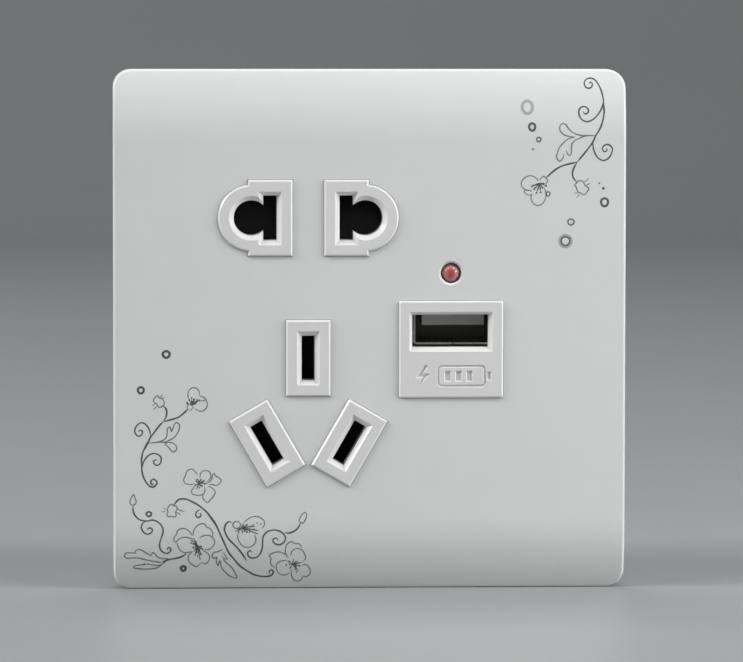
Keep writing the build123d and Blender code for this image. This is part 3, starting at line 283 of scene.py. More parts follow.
LOWER_STROKES = [
    ("petal", [(-34.75, -12.56), (-35.22, -12.85), (-35.52, -12.73), (-35.63, -12.44), (-35.93, -12.14), (-36.34, -11.73), (-35.98, -11.14), (-35.63, -10.87), (-35.34, -11.26), (-34.87, -11.38), (-34.57, -11.85), (-34.52, -12.32), (-34.75, -12.56)]),
    ("petal", [(-35.34, -11.26), (-35.04, -11.02), (-34.75, -10.61)]),
    ("petal", [(-35.22, -11.32), (-34.75, -11.32), (-34.42, -11.09)]),
    ("petal", [(-35.87, -12.14), (-36.16, -12.32), (-36.51, -12.55)]),
    ("petal", [(-35.57, -12.5), (-35.93, -12.85), (-36.4, -13.24)]),
    ("stem", [(-34.75, -12.56), (-34.23, -13.09), (-34.09, -13.74), (-34.23, -14.45), (-34.64, -15.21)]),
    ("stem", [(-34.64, -15.21), (-35.23, -15.8), (-35.82, -16.56), (-36.41, -17.33), (-36.94, -18.09), (-37.24, -18.8), (-37.59, -19.39), (-37.83, -19.95), (-37.32, -18.8), (-37.73, -19.52), (-38.15, -20.56), (-38.31, -21.5), (-38.31, -22.43), (-38.28, -23.27), (-38.16, -24.1), (-37.85, -24.94), (-37.39, -25.67), (-36.82, -26.19), (-36.4, -26.24), (-35.88, -25.88), (-35.73, -25.52), (-35.99, -25.1), (-36.35, -24.94), (-36.71, -25.2), (-36.76, -25.62), (-36.51, -25.88), (-36.35, -25.57)]),
    ("stem", [(-34.64, -15.25), (-33.82, -15.02), (-33, -14.81), (-32.17, -14.52), (-31.35, -13.93), (-30.52, -13.11)]),
    ("petal", [(-30.4, -11.63), (-30.54, -10.81), (-30.4, -10.1), (-29.93, -9.63), (-29.52, -9.54), (-28.99, -9.75), (-28.64, -10.29), (-28.58, -10.93)]),
    ("petal", [(-28.52, -10.93), (-27.88, -11.23), (-27.44, -11.76), (-27.29, -12.47), (-27.59, -13.12), (-28.29, -13.53), (-28.88, -13.35), (-29.47, -12.99)]),
    ("petal", [(-28.58, -10.99), (-27.99, -11.11), (-27.58, -11.47), (-27.88, -11.76), (-28.64, -11.58)]),
    ("petal", [(-30.52, -13.11), (-30.7, -12.87), (-30.52, -12.52), (-30.82, -12.16), (-30.41, -12.16)]),
    ("petal", [(-30.41, -13.52), (-29.94, -13.17), (-29.64, -12.88)]),
    ("vein", [(-29.94, -12.52), (-30.7, -12.16)]),
    ("vein", [(-29.94, -12.52), (-29.93, -11.4)]),
    ("vein", [(-29.94, -12.52), (-29.29, -11.34)]),
    ("vein", [(-29.94, -12.52), (-29, -12.17)]),
    ("vein", [(-29.94, -12.52), (-28.58, -11.52)]),
    ("vein", [(-29.94, -12.52), (-29.64, -12.93)]),
    ("tendril", [(-36.82, -17.68), (-36.94, -16.79), (-37.35, -16.03), (-37.93, -15.49), (-38.4, -15.43), (-39.05, -15.84), (-39.46, -16.67), (-39.29, -17.31), (-38.76, -17.71), (-38.23, -17.32), (-38.23, -16.79), (-38.58, -16.67), (-38.85, -16.9)]),
    ("leaf", [(-37.12, -18.86), (-36.18, -18.75), (-35.24, -18.57), (-34.53, -18.28), (-34.12, -17.75), (-34.02, -17.04), (-34, -16.45), (-33.59, -16.16), (-33.3, -16.87), (-33.06, -16.34), (-32.76, -15.63), (-32.41, -15.4), (-32, -15.76), (-32, -16.46), (-32.3, -17.17), (-32.77, -17.82), (-33.59, -18.34), (-34.42, -18.69)]),
    ("leaf", [(-37.12, -18.86), (-36.18, -18.78), (-35.24, -18.69), (-34.53, -18.72), (-34.02, -18.78), (-34.41, -19.02), (-33.9, -19.44), (-33.54, -19.91), (-33.23, -20.22), (-32.92, -20.33), (-32.55, -20.07), (-32.45, -19.55), (-32.7, -19.13), (-33.17, -18.81), (-33.69, -18.76), (-33.36, -18.75), (-34.06, -18.72)]),
    ("tendril", [(-38.16, -22.85), (-38.05, -22.23), (-37.63, -21.4), (-37.01, -20.83), (-36.28, -20.59), (-35.56, -20.78), (-35.09, -21.25), (-35.04, -21.82), (-35.25, -22.34), (-35.72, -22.6), (-36.19, -22.34), (-36.29, -21.87), (-35.92, -21.66), (-35.75, -21.77)]),
    ("petal", [(-39.67, -27.48), (-40.09, -28.15), (-40.3, -28.78), (-40.14, -29.14), (-39.78, -29.3), (-39.37, -29.09), (-39.24, -28.68), (-39.41, -28.16), (-39.67, -27.48)]),
    ("stem", [(-39.73, -29.46), (-39.78, -30.03), (-39.58, -30.76), (-39.11, -31.39), (-38.6, -31.76), (-37.87, -31.97)]),
    ("petal", [(-32.94, -29.39), (-33.3, -29.13), (-33.72, -29.44), (-33.98, -29.96), (-33.93, -30.58), (-34.08, -30.79), (-33.93, -31.21), (-33.3, -31.21), (-32.89, -31.32), (-32.53, -31.11), (-32.63, -30.49), (-32.37, -29.97), (-32.47, -29.55), (-32.94, -29.39)]),
    ("petal", [(-34.13, -30.06), (-34.44, -29.9), (-34.7, -29.75)]),
    ("petal", [(-34.34, -30.27), (-34.65, -30.42), (-34.96, -30.37)]),
    ("petal", [(-32.37, -29.91), (-31.75, -30.23), (-31.12, -30.44)]),
    ("petal", [(-32.58, -30.43), (-32.16, -30.7), (-31.7, -30.96)]),
    ("stem", [(-32.94, -29.39), (-32.57, -28.82), (-32.11, -28.4), (-31.43, -28.25), (-30.7, -28.36), (-29.88, -28.73), (-28.94, -29.25), (-28.11, -29.88), (-27.39, -30.51), (-26.77, -31.3), (-26.06, -32.4), (-27.03, -31), (-26.33, -31.83), (-25.68, -33.02), (-25.15, -34.22), (-24.56, -35.54), (-24.09, -36.62), (-23.67, -37.47), (-22.78, -38.57), (-21.83, -39.67), (-20.65, -40.54), (-19.46, -41.23), (-18.27, -41.54), (-17.09, -41.58), (-16.5, -41.37), (-16.16, -40.82), (-16.51, -40.44), (-16.87, -40.69), (-16.8, -41.12)]),
    ("tendril", [(-28.48, -30.09), (-28.94, -30.3), (-29.26, -30.82), (-29.1, -31.29), (-28.74, -31.39), (-28.38, -31.08), (-28.48, -30.72), (-28.74, -30.77)]),
    ("petal", [(-28.92, -24.22), (-29.37, -23.66), (-29.74, -23.28), (-30.19, -23.28), (-30.6, -23.5), (-30.83, -23.84), (-30.98, -24.36), (-31.24, -24.89), (-31.24, -25.3), (-30.95, -25.64), (-30.42, -25.83), (-29.9, -25.83), (-29.45, -25.72)]),
    ("petal", [(-28.55, -24.75), (-28.51, -24.37), (-28.43, -23.92), (-28.1, -23.62), (-27.57, -23.51), (-27.12, -23.59), (-26.82, -23.93), (-26.71, -24.38), (-26.75, -24.76), (-27.05, -25.06), (-27.35, -25.36)]),
    ("petal", [(-29.37, -26.03), (-29.75, -26.55), (-29.98, -27), (-29.86, -27.38), (-29.45, -27.57), (-28.78, -27.65), (-28.11, -27.54), (-27.81, -27.24), (-27.69, -26.79), (-27.8, -26.26)]),
    ("petal", [(-27.96, -27.54), (-28.11, -27.91), (-27.96, -28.29), (-27.58, -28.71), (-27.21, -28.86), (-26.91, -28.52), (-26.46, -28.07), (-26.16, -27.62), (-25.97, -27.17), (-26.23, -26.72), (-26.68, -26.34), (-27.2, -26.11)]),
    ("petal", [(-27.43, -25.66), (-26.83, -25.29), (-26.56, -24.91), (-26.41, -24.23), (-26.19, -23.97), (-25.93, -24.39), (-25.55, -24.62), (-25.18, -24.88), (-24.95, -25.14), (-25.14, -25.52), (-25.48, -25.89), (-25.97, -26.04), (-26.38, -25.85), (-27.05, -25.92)]),
    ("vein", [(-28.89, -25.35), (-28.7, -25.65), (-28.4, -25.73)]),
    ("vein", [(-29, -25.95), (-28.7, -25.69), (-28.62, -25.35)]),
    ("vein", [(-28.55, -26.1), (-28.66, -25.73)]),
    ("vein", [(-28.7, -25.65), (-28.92, -24.96)]),
    ("vein", [(-28.7, -25.65), (-29.11, -26.57)]),
    ("vein", [(-28.7, -25.65), (-27.5, -25.62)]),
    ("vein", [(-28.7, -25.65), (-27.84, -25.17)]),
    ("tendril", [(-38.21, -31.79), (-37.41, -31.98), (-36.56, -31.8), (-35.7, -32.07), (-35.06, -32.67), (-34.74, -33.37), (-34.8, -34.13), (-35.06, -34.89), (-35.3, -35.76), (-35.3, -36.41), (-35.07, -36.96), (-34.53, -37.4), (-34, -37.48), (-33.57, -37.19), (-33.46, -36.75), (-33.73, -36.48), (-34.05, -36.69), (-33.94, -36.91)]),
    ("tendril", [(-37.63, -31.98), (-38.16, -32.38), (-38.38, -33.03), (-38.22, -33.57), (-37.74, -34.06), (-37.2, -34.19), (-36.67, -33.85), (-36.51, -33.47), (-36.88, -33.14), (-37.31, -33.3), (-37.31, -33.52)]),
    ("petal", [(-29.82, -34.48), (-30.36, -33.72), (-31, -33.31), (-31.64, -33.26), (-32.28, -33.6), (-32.5, -34.25), (-32.82, -34.68), (-32.93, -35.22), (-32.66, -35.66)]),
    ("petal", [(-32.66, -35.72), (-32.18, -35.12), (-31.53, -34.8), (-30.78, -34.75), (-30.04, -34.97), (-29.39, -35.03)]),
    ("petal", [(-32.34, -35.66), (-32.23, -36.32), (-31.8, -36.98), (-31.21, -37.37), (-30.57, -37.32), (-29.82, -37.16)]),
    ("petal", [(-29.71, -34.48), (-29.61, -33.72), (-29.18, -32.97), (-28.53, -32.54), (-27.95, -32.44), (-27.57, -32.76), (-27.36, -33.09), (-26.93, -33.2), (-26.56, -33.63), (-26.4, -34.28), (-26.5, -34.66)]),
    ("petal", [(-28.64, -34.87), (-28.11, -34.55), (-27.36, -34.41), (-26.82, -34.5), (-26.34, -34.94), (-26.07, -35.59), (-26.39, -36.35), (-26.93, -36.79), (-27.89, -36.95)]),
    ("petal", [(-29.87, -37.27), (-30.35, -37.76), (-30.51, -38.42), (-30.24, -39.09), (-29.71, -39.54), (-29.12, -39.82), (-28.53, -39.32), (-28.32, -39.04)]),
    ("petal", [(-28.32, -39.04), (-27.67, -39.32), (-27.19, -38.99), (-26.92, -38.33), (-27.03, -37.78), (-27.46, -37.34), (-28, -37.11)]),
    ("vein", [(-28.96, -36.23), (-30.04, -35.73)]),
    ("vein", [(-28.96, -36.23), (-29.45, -35.41)]),
    ("vein", [(-28.96, -36.23), (-29.39, -36.12)]),
    ("vein", [(-28.96, -36.23), (-29.61, -37.16)]),
    ("vein", [(-28.96, -36.23), (-29.34, -37.77)]),
    ("vein", [(-28.96, -36.23), (-28.53, -38.43)]),
    ("vein", [(-28.96, -36.23), (-28.11, -36.78)]),
    ("stem", [(-30.84, -37.54), (-31.42, -37.97), (-32.39, -38.3), (-33.46, -38.51), (-34.1, -38.68), (-34.85, -38.95)]),
    ("leaf", [(-33.46, -38.49), (-34.42, -38.4), (-35.17, -38.34), (-35.71, -38.06), (-36.03, -37.62), (-36.51, -37.34), (-36.72, -37.83), (-37.21, -37.61), (-37.74, -37.28), (-38.38, -36.89), (-39.02, -36.83), (-39.4, -37.16), (-39.24, -37.49)]),
    ("leaf", [(-39.24, -37.43), (-40.2, -37.37), (-40.84, -37.37), (-41.22, -37.81), (-40.9, -38.25), (-39.88, -38.25), (-38.92, -38.26), (-37.85, -38.54), (-36.99, -38.71), (-35.92, -38.94), (-34.85, -39.06)]),
    ("leaf", [(-33.99, -38.62), (-34.64, -39.17), (-35.17, -39.61), (-35.81, -40), (-36.56, -40.14), (-37.53, -40.21), (-38.6, -40.15), (-39.56, -39.98), (-39.67, -39.81), (-39.03, -39.53), (-38.06, -39.43), (-37.21, -39.32)]),
    ("leaf", [(-37.21, -39.32), (-36.35, -39.49), (-35.49, -39.56), (-34.96, -39.39)]),
    ("stem", [(-20.78, -38.82), (-21.13, -38.09), (-21.73, -37.24), (-22.67, -36.15), (-23.62, -35.18), (-24.21, -34.22), (-24.44, -33.39), (-24.27, -32.67), (-23.74, -32.14), (-23.21, -32.27)]),
    ("petal", [(-23.03, -32.56), (-22.68, -32.15), (-22.2, -32.09), (-21.79, -32.45), (-21.85, -33.04), (-22.44, -33.28), (-22.85, -33.04), (-23.03, -32.56)]),
    ("petal", [(-21.14, -32.22), (-20.55, -31.75), (-19.96, -31.4), (-19.14, -31.26), (-18.31, -31.52), (-17.78, -32.06), (-17.73, -32.71), (-18.08, -33.3)]),
    ("petal", [(-22.09, -33.99), (-22.21, -34.83), (-21.85, -35.67), (-21.26, -36.34), (-20.55, -36.52), (-19.84, -36.34), (-19.32, -35.81), (-19.14, -35.09), (-19.38, -34.37)]),
    ("vein", [(-21.62, -33.16), (-22.68, -33.81)]),
    ("vein", [(-21.62, -33.16), (-21.14, -32.34)]),
    ("vein", [(-21.62, -33.16), (-19.26, -32.94)]),
    ("vein", [(-21.62, -33.16), (-18.67, -33.66)]),
    ("vein", [(-21.62, -33.16), (-18.73, -34.25)]),
    ("vein", [(-21.62, -33.16), (-21.38, -34.18)]),
    ("tendril", [(-19.84, -37.37), (-20.08, -37.07), (-20.49, -37.37), (-20.43, -37.97), (-19.84, -38.34), (-19.01, -38.23), (-18.42, -37.62), (-18.07, -36.54), (-18.02, -35.45), (-17.9, -34.62), (-17.37, -33.96), (-16.55, -33.61), (-15.72, -33.61), (-14.9, -33.92), (-14.31, -34.52), (-14.19, -35.12), (-14.54, -35.77), (-15.24, -36.09), (-15.95, -35.89), (-16.31, -35.4), (-16.07, -34.98), (-15.6, -35.05), (-15.42, -35.35)]),
    ("stem", [(-14.31, -34.04), (-13.6, -34.07), (-12.89, -33.87), (-12.18, -33.34), (-11.65, -32.39)]),
    ("petal", [(-11.89, -32.03), (-11.65, -31.38), (-11.24, -30.79), (-10.83, -30.62), (-10.65, -31.21), (-10.89, -31.92), (-11.24, -32.45), (-11.54, -32.33), (-11.89, -32.03)]),
    ("leaf", [(-24.68, -36.8), (-25.5, -37.22), (-26.33, -37.45), (-26.47, -37.94), (-26.2, -38.37), (-25.73, -38.19), (-25.79, -38.79), (-25.49, -39.65), (-25.2, -38.8), (-24.9, -39.9), (-24.3, -40.77), (-23.35, -41.57), (-22.35, -41.83), (-22.65, -40.9), (-23.25, -39.91), (-24.08, -39.17), (-24.67, -38.56)]),
    ("leaf", [(-23.84, -38.56), (-24.2, -38.07), (-24.56, -37.34)]),
    ("leaf", [(-23.85, -38.5), (-24.32, -38.5), (-24.91, -37.95)]),
    ("petal", [(-13.64, -38.38), (-14.17, -37.77), (-15, -37.34), (-15.71, -37.34), (-16.42, -37.57), (-16.89, -37.93), (-16.59, -38.48), (-16.7, -39.09), (-16.4, -39.71), (-15.93, -40.02)]),
    ("petal", [(-15.69, -39.71), (-15.46, -39.22), (-14.76, -38.86), (-13.81, -38.81)]),
    ("petal", [(-15.75, -39.59), (-15.63, -40.33), (-15.21, -41.07), (-14.49, -41.35), (-13.79, -41.2), (-13.38, -40.89)]),
    ("petal", [(-13.82, -38.26), (-14.18, -37.28), (-14.01, -36.2), (-13.48, -35.66), (-13, -35.6), (-12.53, -35.91), (-11.94, -35.91), (-11.53, -36.33), (-11.41, -36.7)]),
    ("petal", [(-13.29, -38.02), (-13.11, -37.29), (-12.53, -36.81), (-11.82, -36.79), (-11.23, -37.18), (-10.87, -37.91), (-10.74, -38.4), (-11.21, -39)]),
    ("petal", [(-11.44, -39.74), (-10.85, -39.5), (-10.26, -39.87), (-9.95, -40.61), (-10.12, -41.35), (-10.71, -41.65), (-11.18, -41.65), (-11.41, -42.08), (-12, -42.45), (-12.71, -42.2), (-13.13, -41.45), (-13.09, -40.59)]),
    ("vein", [(-12.98, -39.48), (-12.04, -38.88)]),
    ("vein", [(-12.98, -39.48), (-11.33, -39.13)]),
    ("vein", [(-12.98, -39.48), (-11.9, -40.72)]),
    ("vein", [(-12.98, -39.48), (-12.75, -38.57)]),
    ("vein", [(-28.96, -36.23), (-29.87, -35.35)]),
    ("vein", [(-28.96, -36.23), (-29.23, -35.52)]),
    ("vein", [(-28.96, -36.23), (-29.66, -36.5)]),
    ("vein", [(-28.96, -36.23), (-28.7, -37.11)]),
    ("vein", [(-28.96, -36.23), (-28.37, -37.66)]),
    ("vein", [(-28.96, -36.23), (-29.07, -37.38)]),
    ("vein", [(-28.96, -36.23), (-28.32, -36.34)]),
    ("vein", [(-28.7, -25.65), (-29.15, -25.35)]),
    ("vein", [(-28.7, -25.65), (-28.93, -26.25)]),
    ("vein", [(-28.7, -25.65), (-28.18, -26.11)]),
    ("vein", [(-28.7, -25.65), (-28.03, -25.36)]),
    ("vein", [(-28.7, -25.65), (-28.4, -25.05)]),
    ("vein", [(-28.7, -25.65), (-29.3, -25.95)]),
    ("vein", [(-29.94, -12.52), (-30.29, -11.63)]),
    ("vein", [(-29.94, -12.52), (-29.58, -11.52)]),
    ("vein", [(-29.94, -12.52), (-29.23, -11.99)]),
    ("vein", [(-29.94, -12.52), (-29.52, -12.17)]),
    ("vein", [(-29.94, -12.52), (-28.99, -11.64)]),
    ("vein", [(-21.62, -33.16), (-20.67, -32.69)]),
    ("vein", [(-21.62, -33.16), (-20.2, -33.41)]),
    ("vein", [(-21.62, -33.16), (-20.67, -33.88)]),
    ("vein", [(-21.62, -33.16), (-19.97, -32.94)]),
    ("vein", [(-21.62, -33.16), (-22.09, -33.88)]),
    ("vein", [(-12.98, -39.48), (-12.38, -39.85)]),
    ("vein", [(-12.98, -39.48), (-12.39, -39.12)]),
    ("vein", [(-12.98, -39.48), (-13.33, -40.09)]),
    ("vein", [(-12.98, -39.48), (-11.79, -39.73)]),
    ("vein", [(-12.98, -39.48), (-13.57, -38.99)]),
]
LOWER_RINGS = [     # centre, radii, width, shade
    ((-34.17, -3.96), (0.57, 0.55), 0.42, "dark"),
    ((-38.43, -9.97), (0.49, 0.52), 0.39, "dark"),
    ((-37.12, -30.81), (0.42, 0.38), 0.31, "dark"),
    ((-31.33, -40.12), (0.39, 0.39), 0.46, "dark"),
]
LOWER_DOTS = [      # centre, radius
    ((-29.34, -37.77), 0.13),
    ((-28.53, -38.43), 0.13),
    ((-28.11, -36.78), 0.17),
    ((-28.96, -36.23), 0.20),
    ((-37.9, -39.32), 0.13),
    ((-37.15, -39.32), 0.13),
    ((-37.58, -40.16), 0.13),
    ((-18.96, -32.37), 0.13),
    ((-18.34, -32.54), 0.13),
    ((-12.98, -39.48), 0.20),
    ((-14.04, -39.6), 0.15),
    ((-28.92, -24.96), 0.10),
    ((-29.11, -26.57), 0.10),
    ((-27.5, -25.62), 0.10),
    ((-27.84, -25.17), 0.10),
    ((-28.7, -25.65), 0.23),
    ((-29.87, -35.35), 0.16),
    ((-29.23, -35.52), 0.16),
    ((-29.66, -36.5), 0.16),
    ((-28.7, -37.11), 0.16),
    ((-28.37, -37.66), 0.16),
    ((-29.07, -37.38), 0.16),
    ((-28.32, -36.34), 0.16),
    ((-30.04, -35.73), 0.13),
    ((-29.45, -35.24), 0.13),
    ((-29.61, -35.9), 0.13),
    ((-28.54, -36.73), 0.13),
    ((-28.91, -37.99), 0.13),
    ((-29.18, -36.78), 0.13),
    ((-29.15, -25.35), 0.16),
    ((-28.93, -26.25), 0.16),
    ((-28.18, -26.11), 0.16),
    ((-28.03, -25.36), 0.16),
    ((-28.4, -25.05), 0.16),
    ((-29.3, -25.95), 0.16),
    ((-29.07, -25.05), 0.13),
    ((-28.63, -26.41), 0.13),
    ((-28.4, -26.03), 0.13),
    ((-27.73, -25.81), 0.13),
    ((-28.18, -25.5), 0.13),
    ((-28.62, -25.28), 0.13),
    ((-30.29, -11.63), 0.16),
    ((-29.58, -11.52), 0.16),
    ((-29.23, -11.99), 0.16),
    ((-29.52, -12.17), 0.16),
    ((-28.99, -11.64), 0.16),
    ((-30.7, -11.99), 0.13),
    ((-29.93, -11.28), 0.13),
    ((-28.99, -11.88), 0.13),
    ((-29.82, -11.87), 0.13),
    ((-28.64, -11.76), 0.13),
    ((-20.67, -32.69), 0.16),
    ((-20.2, -33.41), 0.16),
    ((-20.67, -33.88), 0.16),
    ((-19.97, -32.94), 0.16),
    ((-22.09, -33.88), 0.16),
    ((-21.14, -32.93), 0.13),
    ((-19.5, -33.41), 0.13),
    ((-20.2, -33.89), 0.13),
    ((-21.15, -33.76), 0.13),
    ((-19.61, -32.7), 0.13),
    ((-12.38, -39.85), 0.16),
    ((-12.39, -39.12), 0.16),
    ((-13.33, -40.09), 0.16),
    ((-11.79, -39.73), 0.16),
    ((-13.57, -38.99), 0.16),
    ((-12.5, -40.35), 0.13),
    ((-11.92, -39.24), 0.13),
    ((-13.09, -40.59), 0.13),
    ((-13.45, -39.48), 0.13),
    ((-12.26, -40.84), 0.13),
]

FRONT_Y, PLATE_H, ARC_H, ARC_TILT = -8.0, 87.3, 11.4, 25.0
ARC_R = ARC_H / math.sin(math.radians(ARC_TILT))


def plate_point(x, z, lift):
    """Point on the plate's face, lifted along its normal."""
    t = abs(z) - (PLATE_H / 2 - ARC_H)
    if t <= 0:
        return Vector((x, FRONT_Y - lift, z)) * MM
    a = math.asin(min(1.0, t / ARC_R))
    y = FRONT_Y + ARC_R * (1 - math.cos(a))
    return Vector((x, y - lift * math.cos(a), z + math.copysign(lift * math.sin(a), z))) * MM


def smooth_line(pts, closed, step=0.09):
    """Even points along a smooth curve through the given ones."""
    n = len(pts)
    pv = [Vector((p[0], p[1])) for p in pts]
    if n == 2:
        length = (pv[1] - pv[0]).length
        k = max(2, int(length / step))
        return [pv[0].lerp(pv[1], i / k) for i in range(k + 1)]
    out = []
    last = n if closed else n - 1
    for i in range(last):
        p1, p2 = pv[i], pv[(i + 1) % n]
        p0 = pv[i - 1] if (i > 0 or closed) else p1 * 2 - p2
        p3 = pv[(i + 2) % n] if (i + 2 < n or closed) else p2 * 2 - p1
        # centripetal spacing keeps tight curls round
        d0 = max(1e-4, (p1 - p0).length ** 0.5)
        d1 = max(1e-4, (p2 - p1).length ** 0.5)
        d2 = max(1e-4, (p3 - p2).length ** 0.5)
        m1 = (p2 - p1) + ((p1 - p0) / d0 - (p2 - p0) / (d0 + d1)) * d1
        m2 = (p2 - p1) + ((p3 - p2) / d2 - (p3 - p1) / (d1 + d2)) * d1
        k = max(2, int((p2 - p1).length / step))
        for j in range(k):
            t = j / k
            out.append(p1 * (2 * t ** 3 - 3 * t * t + 1) + m1 * (t ** 3 - 2 * t * t + t)
                       + p2 * (3 * t * t - 2 * t ** 3) + m2 * (t ** 3 - t * t))
    if not closed:
        out.append(pv[-1])
    return out


def ink_strip(bm, line, widths, closed, lift, mat_index, bed=0.03):
    """Closed ribbon with a slightly crowned top along a line on the plate."""
    n = len(line)
    rings = []
    for i, p in enumerate(line):
        if closed:
            d = line[(i + 1) % n] - line[i - 1]
        else:
            d = line[min(i + 1, n - 1)] - line[max(i - 1, 0)]
        if d.length < 1e-9:
            d = Vector((1, 0))
        side = Vector((-d.y, d.x)).normalized() * widths[i] / 2
        rings.append([bm.verts.new(plate_point(q.x, q.y, h)) for q, h in (
            (p - side, -bed), (p - side, lift * 0.55), (p, lift), (p + side, lift * 0.55), (p + side, -bed))])
    pairs = list(zip(rings, rings[1:])) + ([(rings[-1], rings[0])] if closed else [])
    faces = []
    for a, b in pairs:
        for k in range(5):
            faces.append(bm.faces.new((a[k], b[k], b[(k + 1) % 5], a[(k + 1) % 5])))
    if not closed:
        faces.append(bm.faces.new(rings[0]))
        faces.append(bm.faces.new(rings[-1][::-1]))
    for f in faces:
        f.material_index = mat_index
        f.smooth = False


INK = {  # width, shade of the line
    "stem": (0.28, 0), "tendril": (0.25, 0), "leaf": (0.21, 1), "petal": (0.19, 1),
    "vein": (0.19, 0)}
SHADE = {"dark": 0, "mid": 1, "light": 2}


def ornament(name, strokes, rings, dots):
    bm = bmesh.new()
    lift = 0.008
    for kind, pts in strokes:
        w, shade = INK[kind]
        closed = pts[0] == pts[-1]
        line = smooth_line(pts[:-1] if closed else pts, closed)
        n = len(line)
        # strokes swell a little and run out thin
        widths = []
        for i in range(n):
            run = min(i, n - 1 - i) * 0.09
            tip = 1.0 if closed else min(1.0, 0.45 + run / 1.1)
            widths.append(w * tip * (1 + 0.10 * math.sin(i * 0.21 + w * 40)))
        ink_strip(bm, line, widths, closed, lift, shade)
        lift = 0.008 + (lift - 0.008 + 0.0006) % 0.006
    for (cx, cz), (rx, rz), w, shade in rings:
        k = 56
        line = [Vector((cx + (rx + 0.02 * math.sin(3 * a)) * math.cos(a), cz + rz * math.sin(a)))
                for a in (2 * math.pi * i / k for i in range(k))]
        ink_strip(bm, line, [w] * k, True, lift, SHADE[shade])
        lift = 0.008 + (lift - 0.008 + 0.0006) % 0.006
    for (cx, cz), r in dots:
        k = 20
        top = bm.verts.new(plate_point(cx, cz, lift * 1.2))
        rim, foot = [], []
        for i in range(k):
            a = 2 * math.pi * i / k
            x, z = cx + r * math.cos(a), cz + r * math.sin(a)
            rim.append(bm.verts.new(plate_point(x, z, lift * 0.6)))
            foot.append(bm.verts.new(plate_point(x, z, -0.03)))
        for i in range(k):
            j = (i + 1) % k
            bm.faces.new((top, rim[i], rim[j]))
            bm.faces.new((rim[i], foot[i], foot[j], rim[j]))
        bm.faces.new(foot)
    bmesh.ops.recalc_face_normals(bm, faces=bm.faces)
    me = bpy.data.meshes.new(name)
    bm.to_mesh(me)
    bm.free()
    o = bpy.data.objects.new(name, me)
    scene.collection.objects.link(o)
    for m in (INK_DARK, INK_MID, INK_LIGHT):
        me.materials.append(m)
    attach(o, "plate")
    return o


INK_DARK = surface("ink_dark", (0.105, 0.106, 0.110), 0.18, (0.38, 0.50), 0.9, 0.05, 0.0010)
INK_MID = surface("ink_mid", (0.205, 0.208, 0.212), 0.14, (0.38, 0.50), 0.9, 0.05, 0.0010)
INK_LIGHT = surface("ink_light", (0.46, 0.465, 0.47), 0.08, (0.38, 0.50), 0.9, 0.05, 0.0010)
ornament("floral_print_upper", UPPER_STROKES, UPPER_RINGS, UPPER_DOTS)
ornament("floral_print_lower", LOWER_STROKES, LOWER_RINGS, LOWER_DOTS)


# ------------------------------------------------------------ shutter springs
def coil_spring(name, node, start, along, height, pitch):
    """Round-wire coil spring, built at one fixed length."""
    radius, wire, sides = 1.15, 0.17, 14
    along = Vector(along)
    u = Vector((0, 1, 0))
    v = along.cross(u)
    steps = int(height / pitch * 44)
    turn = 2 * math.pi * height / pitch
    bm = bmesh.new()
    rings = []
    for i in range(steps + 1):
        a = turn * i / steps
        out = u * math.cos(a) + v * math.sin(a)
        run = (v * math.cos(a) - u * math.sin(a)) * radius * turn + along * height
        side = run.normalized().cross(out)
        mid = Vector(start) + along * height * i / steps + out * radius
        rings.append([bm.verts.new((mid + (out * math.cos(b) + side * math.sin(b)) * wire) * MM)
                      for b in (2 * math.pi * k / sides for k in range(sides))])
    for p, q in zip(rings, rings[1:]):
        for k in range(sides):
            bm.faces.new((p[k], q[k], q[(k + 1) % sides], p[(k + 1) % sides])).smooth = True
    bm.faces.new(rings[0])
    bm.faces.new(rings[-1][::-1])
    bmesh.ops.recalc_face_normals(bm, faces=bm.faces)
    me = bpy.data.meshes.new(name)
    bm.to_mesh(me)
    bm.free()
    o = bpy.data.objects.new(name, me)
    scene.collection.objects.link(o)
    me.materials.append(MAT["spring_steel"])
    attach(o, "socket")
    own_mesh(o)
    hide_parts(node)
    return o


coil_spring("two_pin_coil", "two_pin_spring",
            (-10.36, -1.35, 4.75), (0, 0, 1), 15.0, 1.9)
coil_spring("three_pin_coil", "three_pin_spring",
            (-14.9, -1.35, -12.9), (1, 0, 0), 8.9, 1.45)


# ------------------------------------------------------------------- camera
AZ, EL, ROLL = math.radians(-3.0), math.radians(4.0), math.radians(0.07)
DIST, FOCAL_PX = 0.943, 5623.0
back = Vector((math.sin(AZ) * math.cos(EL), -math.cos(AZ) * math.cos(EL), math.sin(EL)))
right = Vector((math.cos(AZ), math.sin(AZ), 0.0))
up = back.cross(right)
cam_data = bpy.data.cameras.new("camera")
cam_data.sensor_width = 36.0
cam_data.lens = 36.0 * FOCAL_PX / 743.0
cam_data.clip_start, cam_data.clip_end = 0.01, 100.0
cam = bpy.data.objects.new("camera", cam_data)
scene.collection.objects.link(cam)
cam.location = Vector((0, -0.008, 0)) + right * 0.000244 - up * 0.0001 + back * DIST
cam.rotation_mode = "QUATERNION"
cam.rotation_quaternion = Quaternion(back, ROLL) @ (-back).to_track_quat("-Z", "Y")
scene.camera = cam


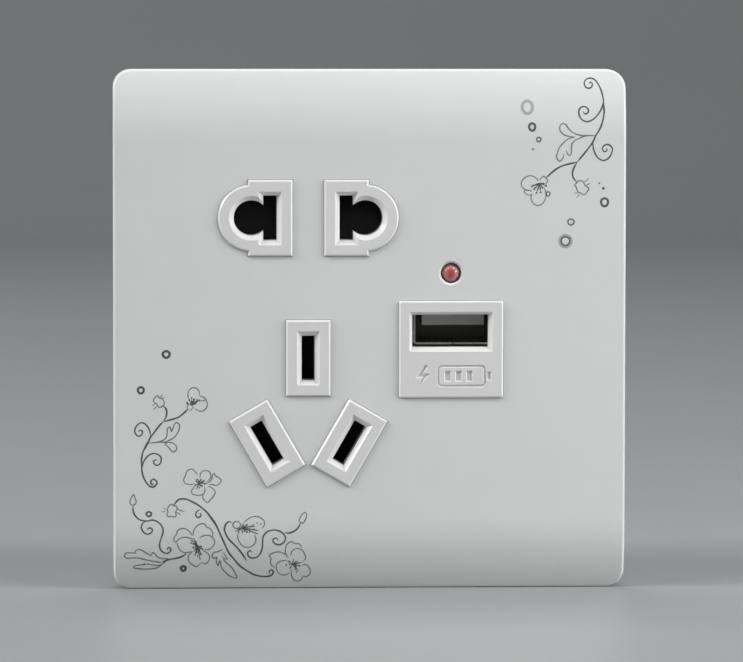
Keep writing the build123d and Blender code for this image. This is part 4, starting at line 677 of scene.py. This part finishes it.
# ---------------------------------------------------------- floor and light
def backdrop():
    z0 = cad_lo.z - 0.00002
    prof = [(-2.2, z0), (-0.3, z0), (0.2, z0), (1.05, z0)]
    r, cy = 0.55, 1.05
    for k in range(1, 25):
        a = math.radians(90 * k / 24)
        prof.append((cy + r * math.sin(a), z0 + r - r * math.cos(a)))
    prof.append((cy + r, z0 + 2.4))
    bm = bmesh.new()
    rows = [[bm.verts.new((x, y, z)) for x in (-2.6, -0.8, 0.8, 2.6)] for y, z in prof]
    for a, b in zip(rows, rows[1:]):
        for k in range(3):
            bm.faces.new((a[k], a[k + 1], b[k + 1], b[k]))
    me = bpy.data.meshes.new("backdrop")
    bm.to_mesh(me)
    bm.free()
    for p in me.polygons:
        p.use_smooth = True
    o = bpy.data.objects.new("backdrop", me)
    scene.collection.objects.link(o)
    me.materials.append(surface("paper", (0.298, 0.313, 0.314), 0.012, (0.40, 0.46), 60.0, 2.0, 0.02))
    return o


backdrop()


def softbox(name, target, direction, dist, w, h, watts, tint=(1, 1, 1)):
    d = Vector(direction).normalized()
    li = bpy.data.lights.new(name, "AREA")
    li.shape = "RECTANGLE"
    li.size, li.size_y = w, h
    li.energy = watts
    li.color = tint
    o = bpy.data.objects.new(name, li)
    scene.collection.objects.link(o)
    o.location = Vector(target) + d * dist
    o.rotation_mode = "QUATERNION"
    o.rotation_quaternion = (-d).to_track_quat("-Z", "Y")
    return o


MID = (0, -0.008, 0)
softbox("key_left", MID, (-0.50, -0.36, 0.79), 1.60, 0.40, 0.40, 5.1)
softbox("key_top", MID, (0.0, -0.40, 0.92), 0.90, 0.10, 0.10, 0.40)
softbox("key_right", MID, (0.50, -0.36, 0.79), 0.62, 0.22, 0.22, 1.25)
softbox("side_left", MID, (-0.90, -0.20, 0.49), 1.40, 0.50, 0.42, 12.8)
softbox("side_right", MID, (0.92, -0.28, 0.24), 0.52, 0.22, 0.20, 1.80)
softbox("rear_top", (0, 0.45, -0.04), (0, 0, 1), 1.04, 0.60, 0.50, 5.5)

world = bpy.data.worlds.new("world")
scene.world = world
world.use_nodes = True
bg = world.node_tree.nodes["Background"]
bg.inputs["Color"].default_value = (0.95, 0.98, 1.0, 1)
bg.inputs["Strength"].default_value = 0.03
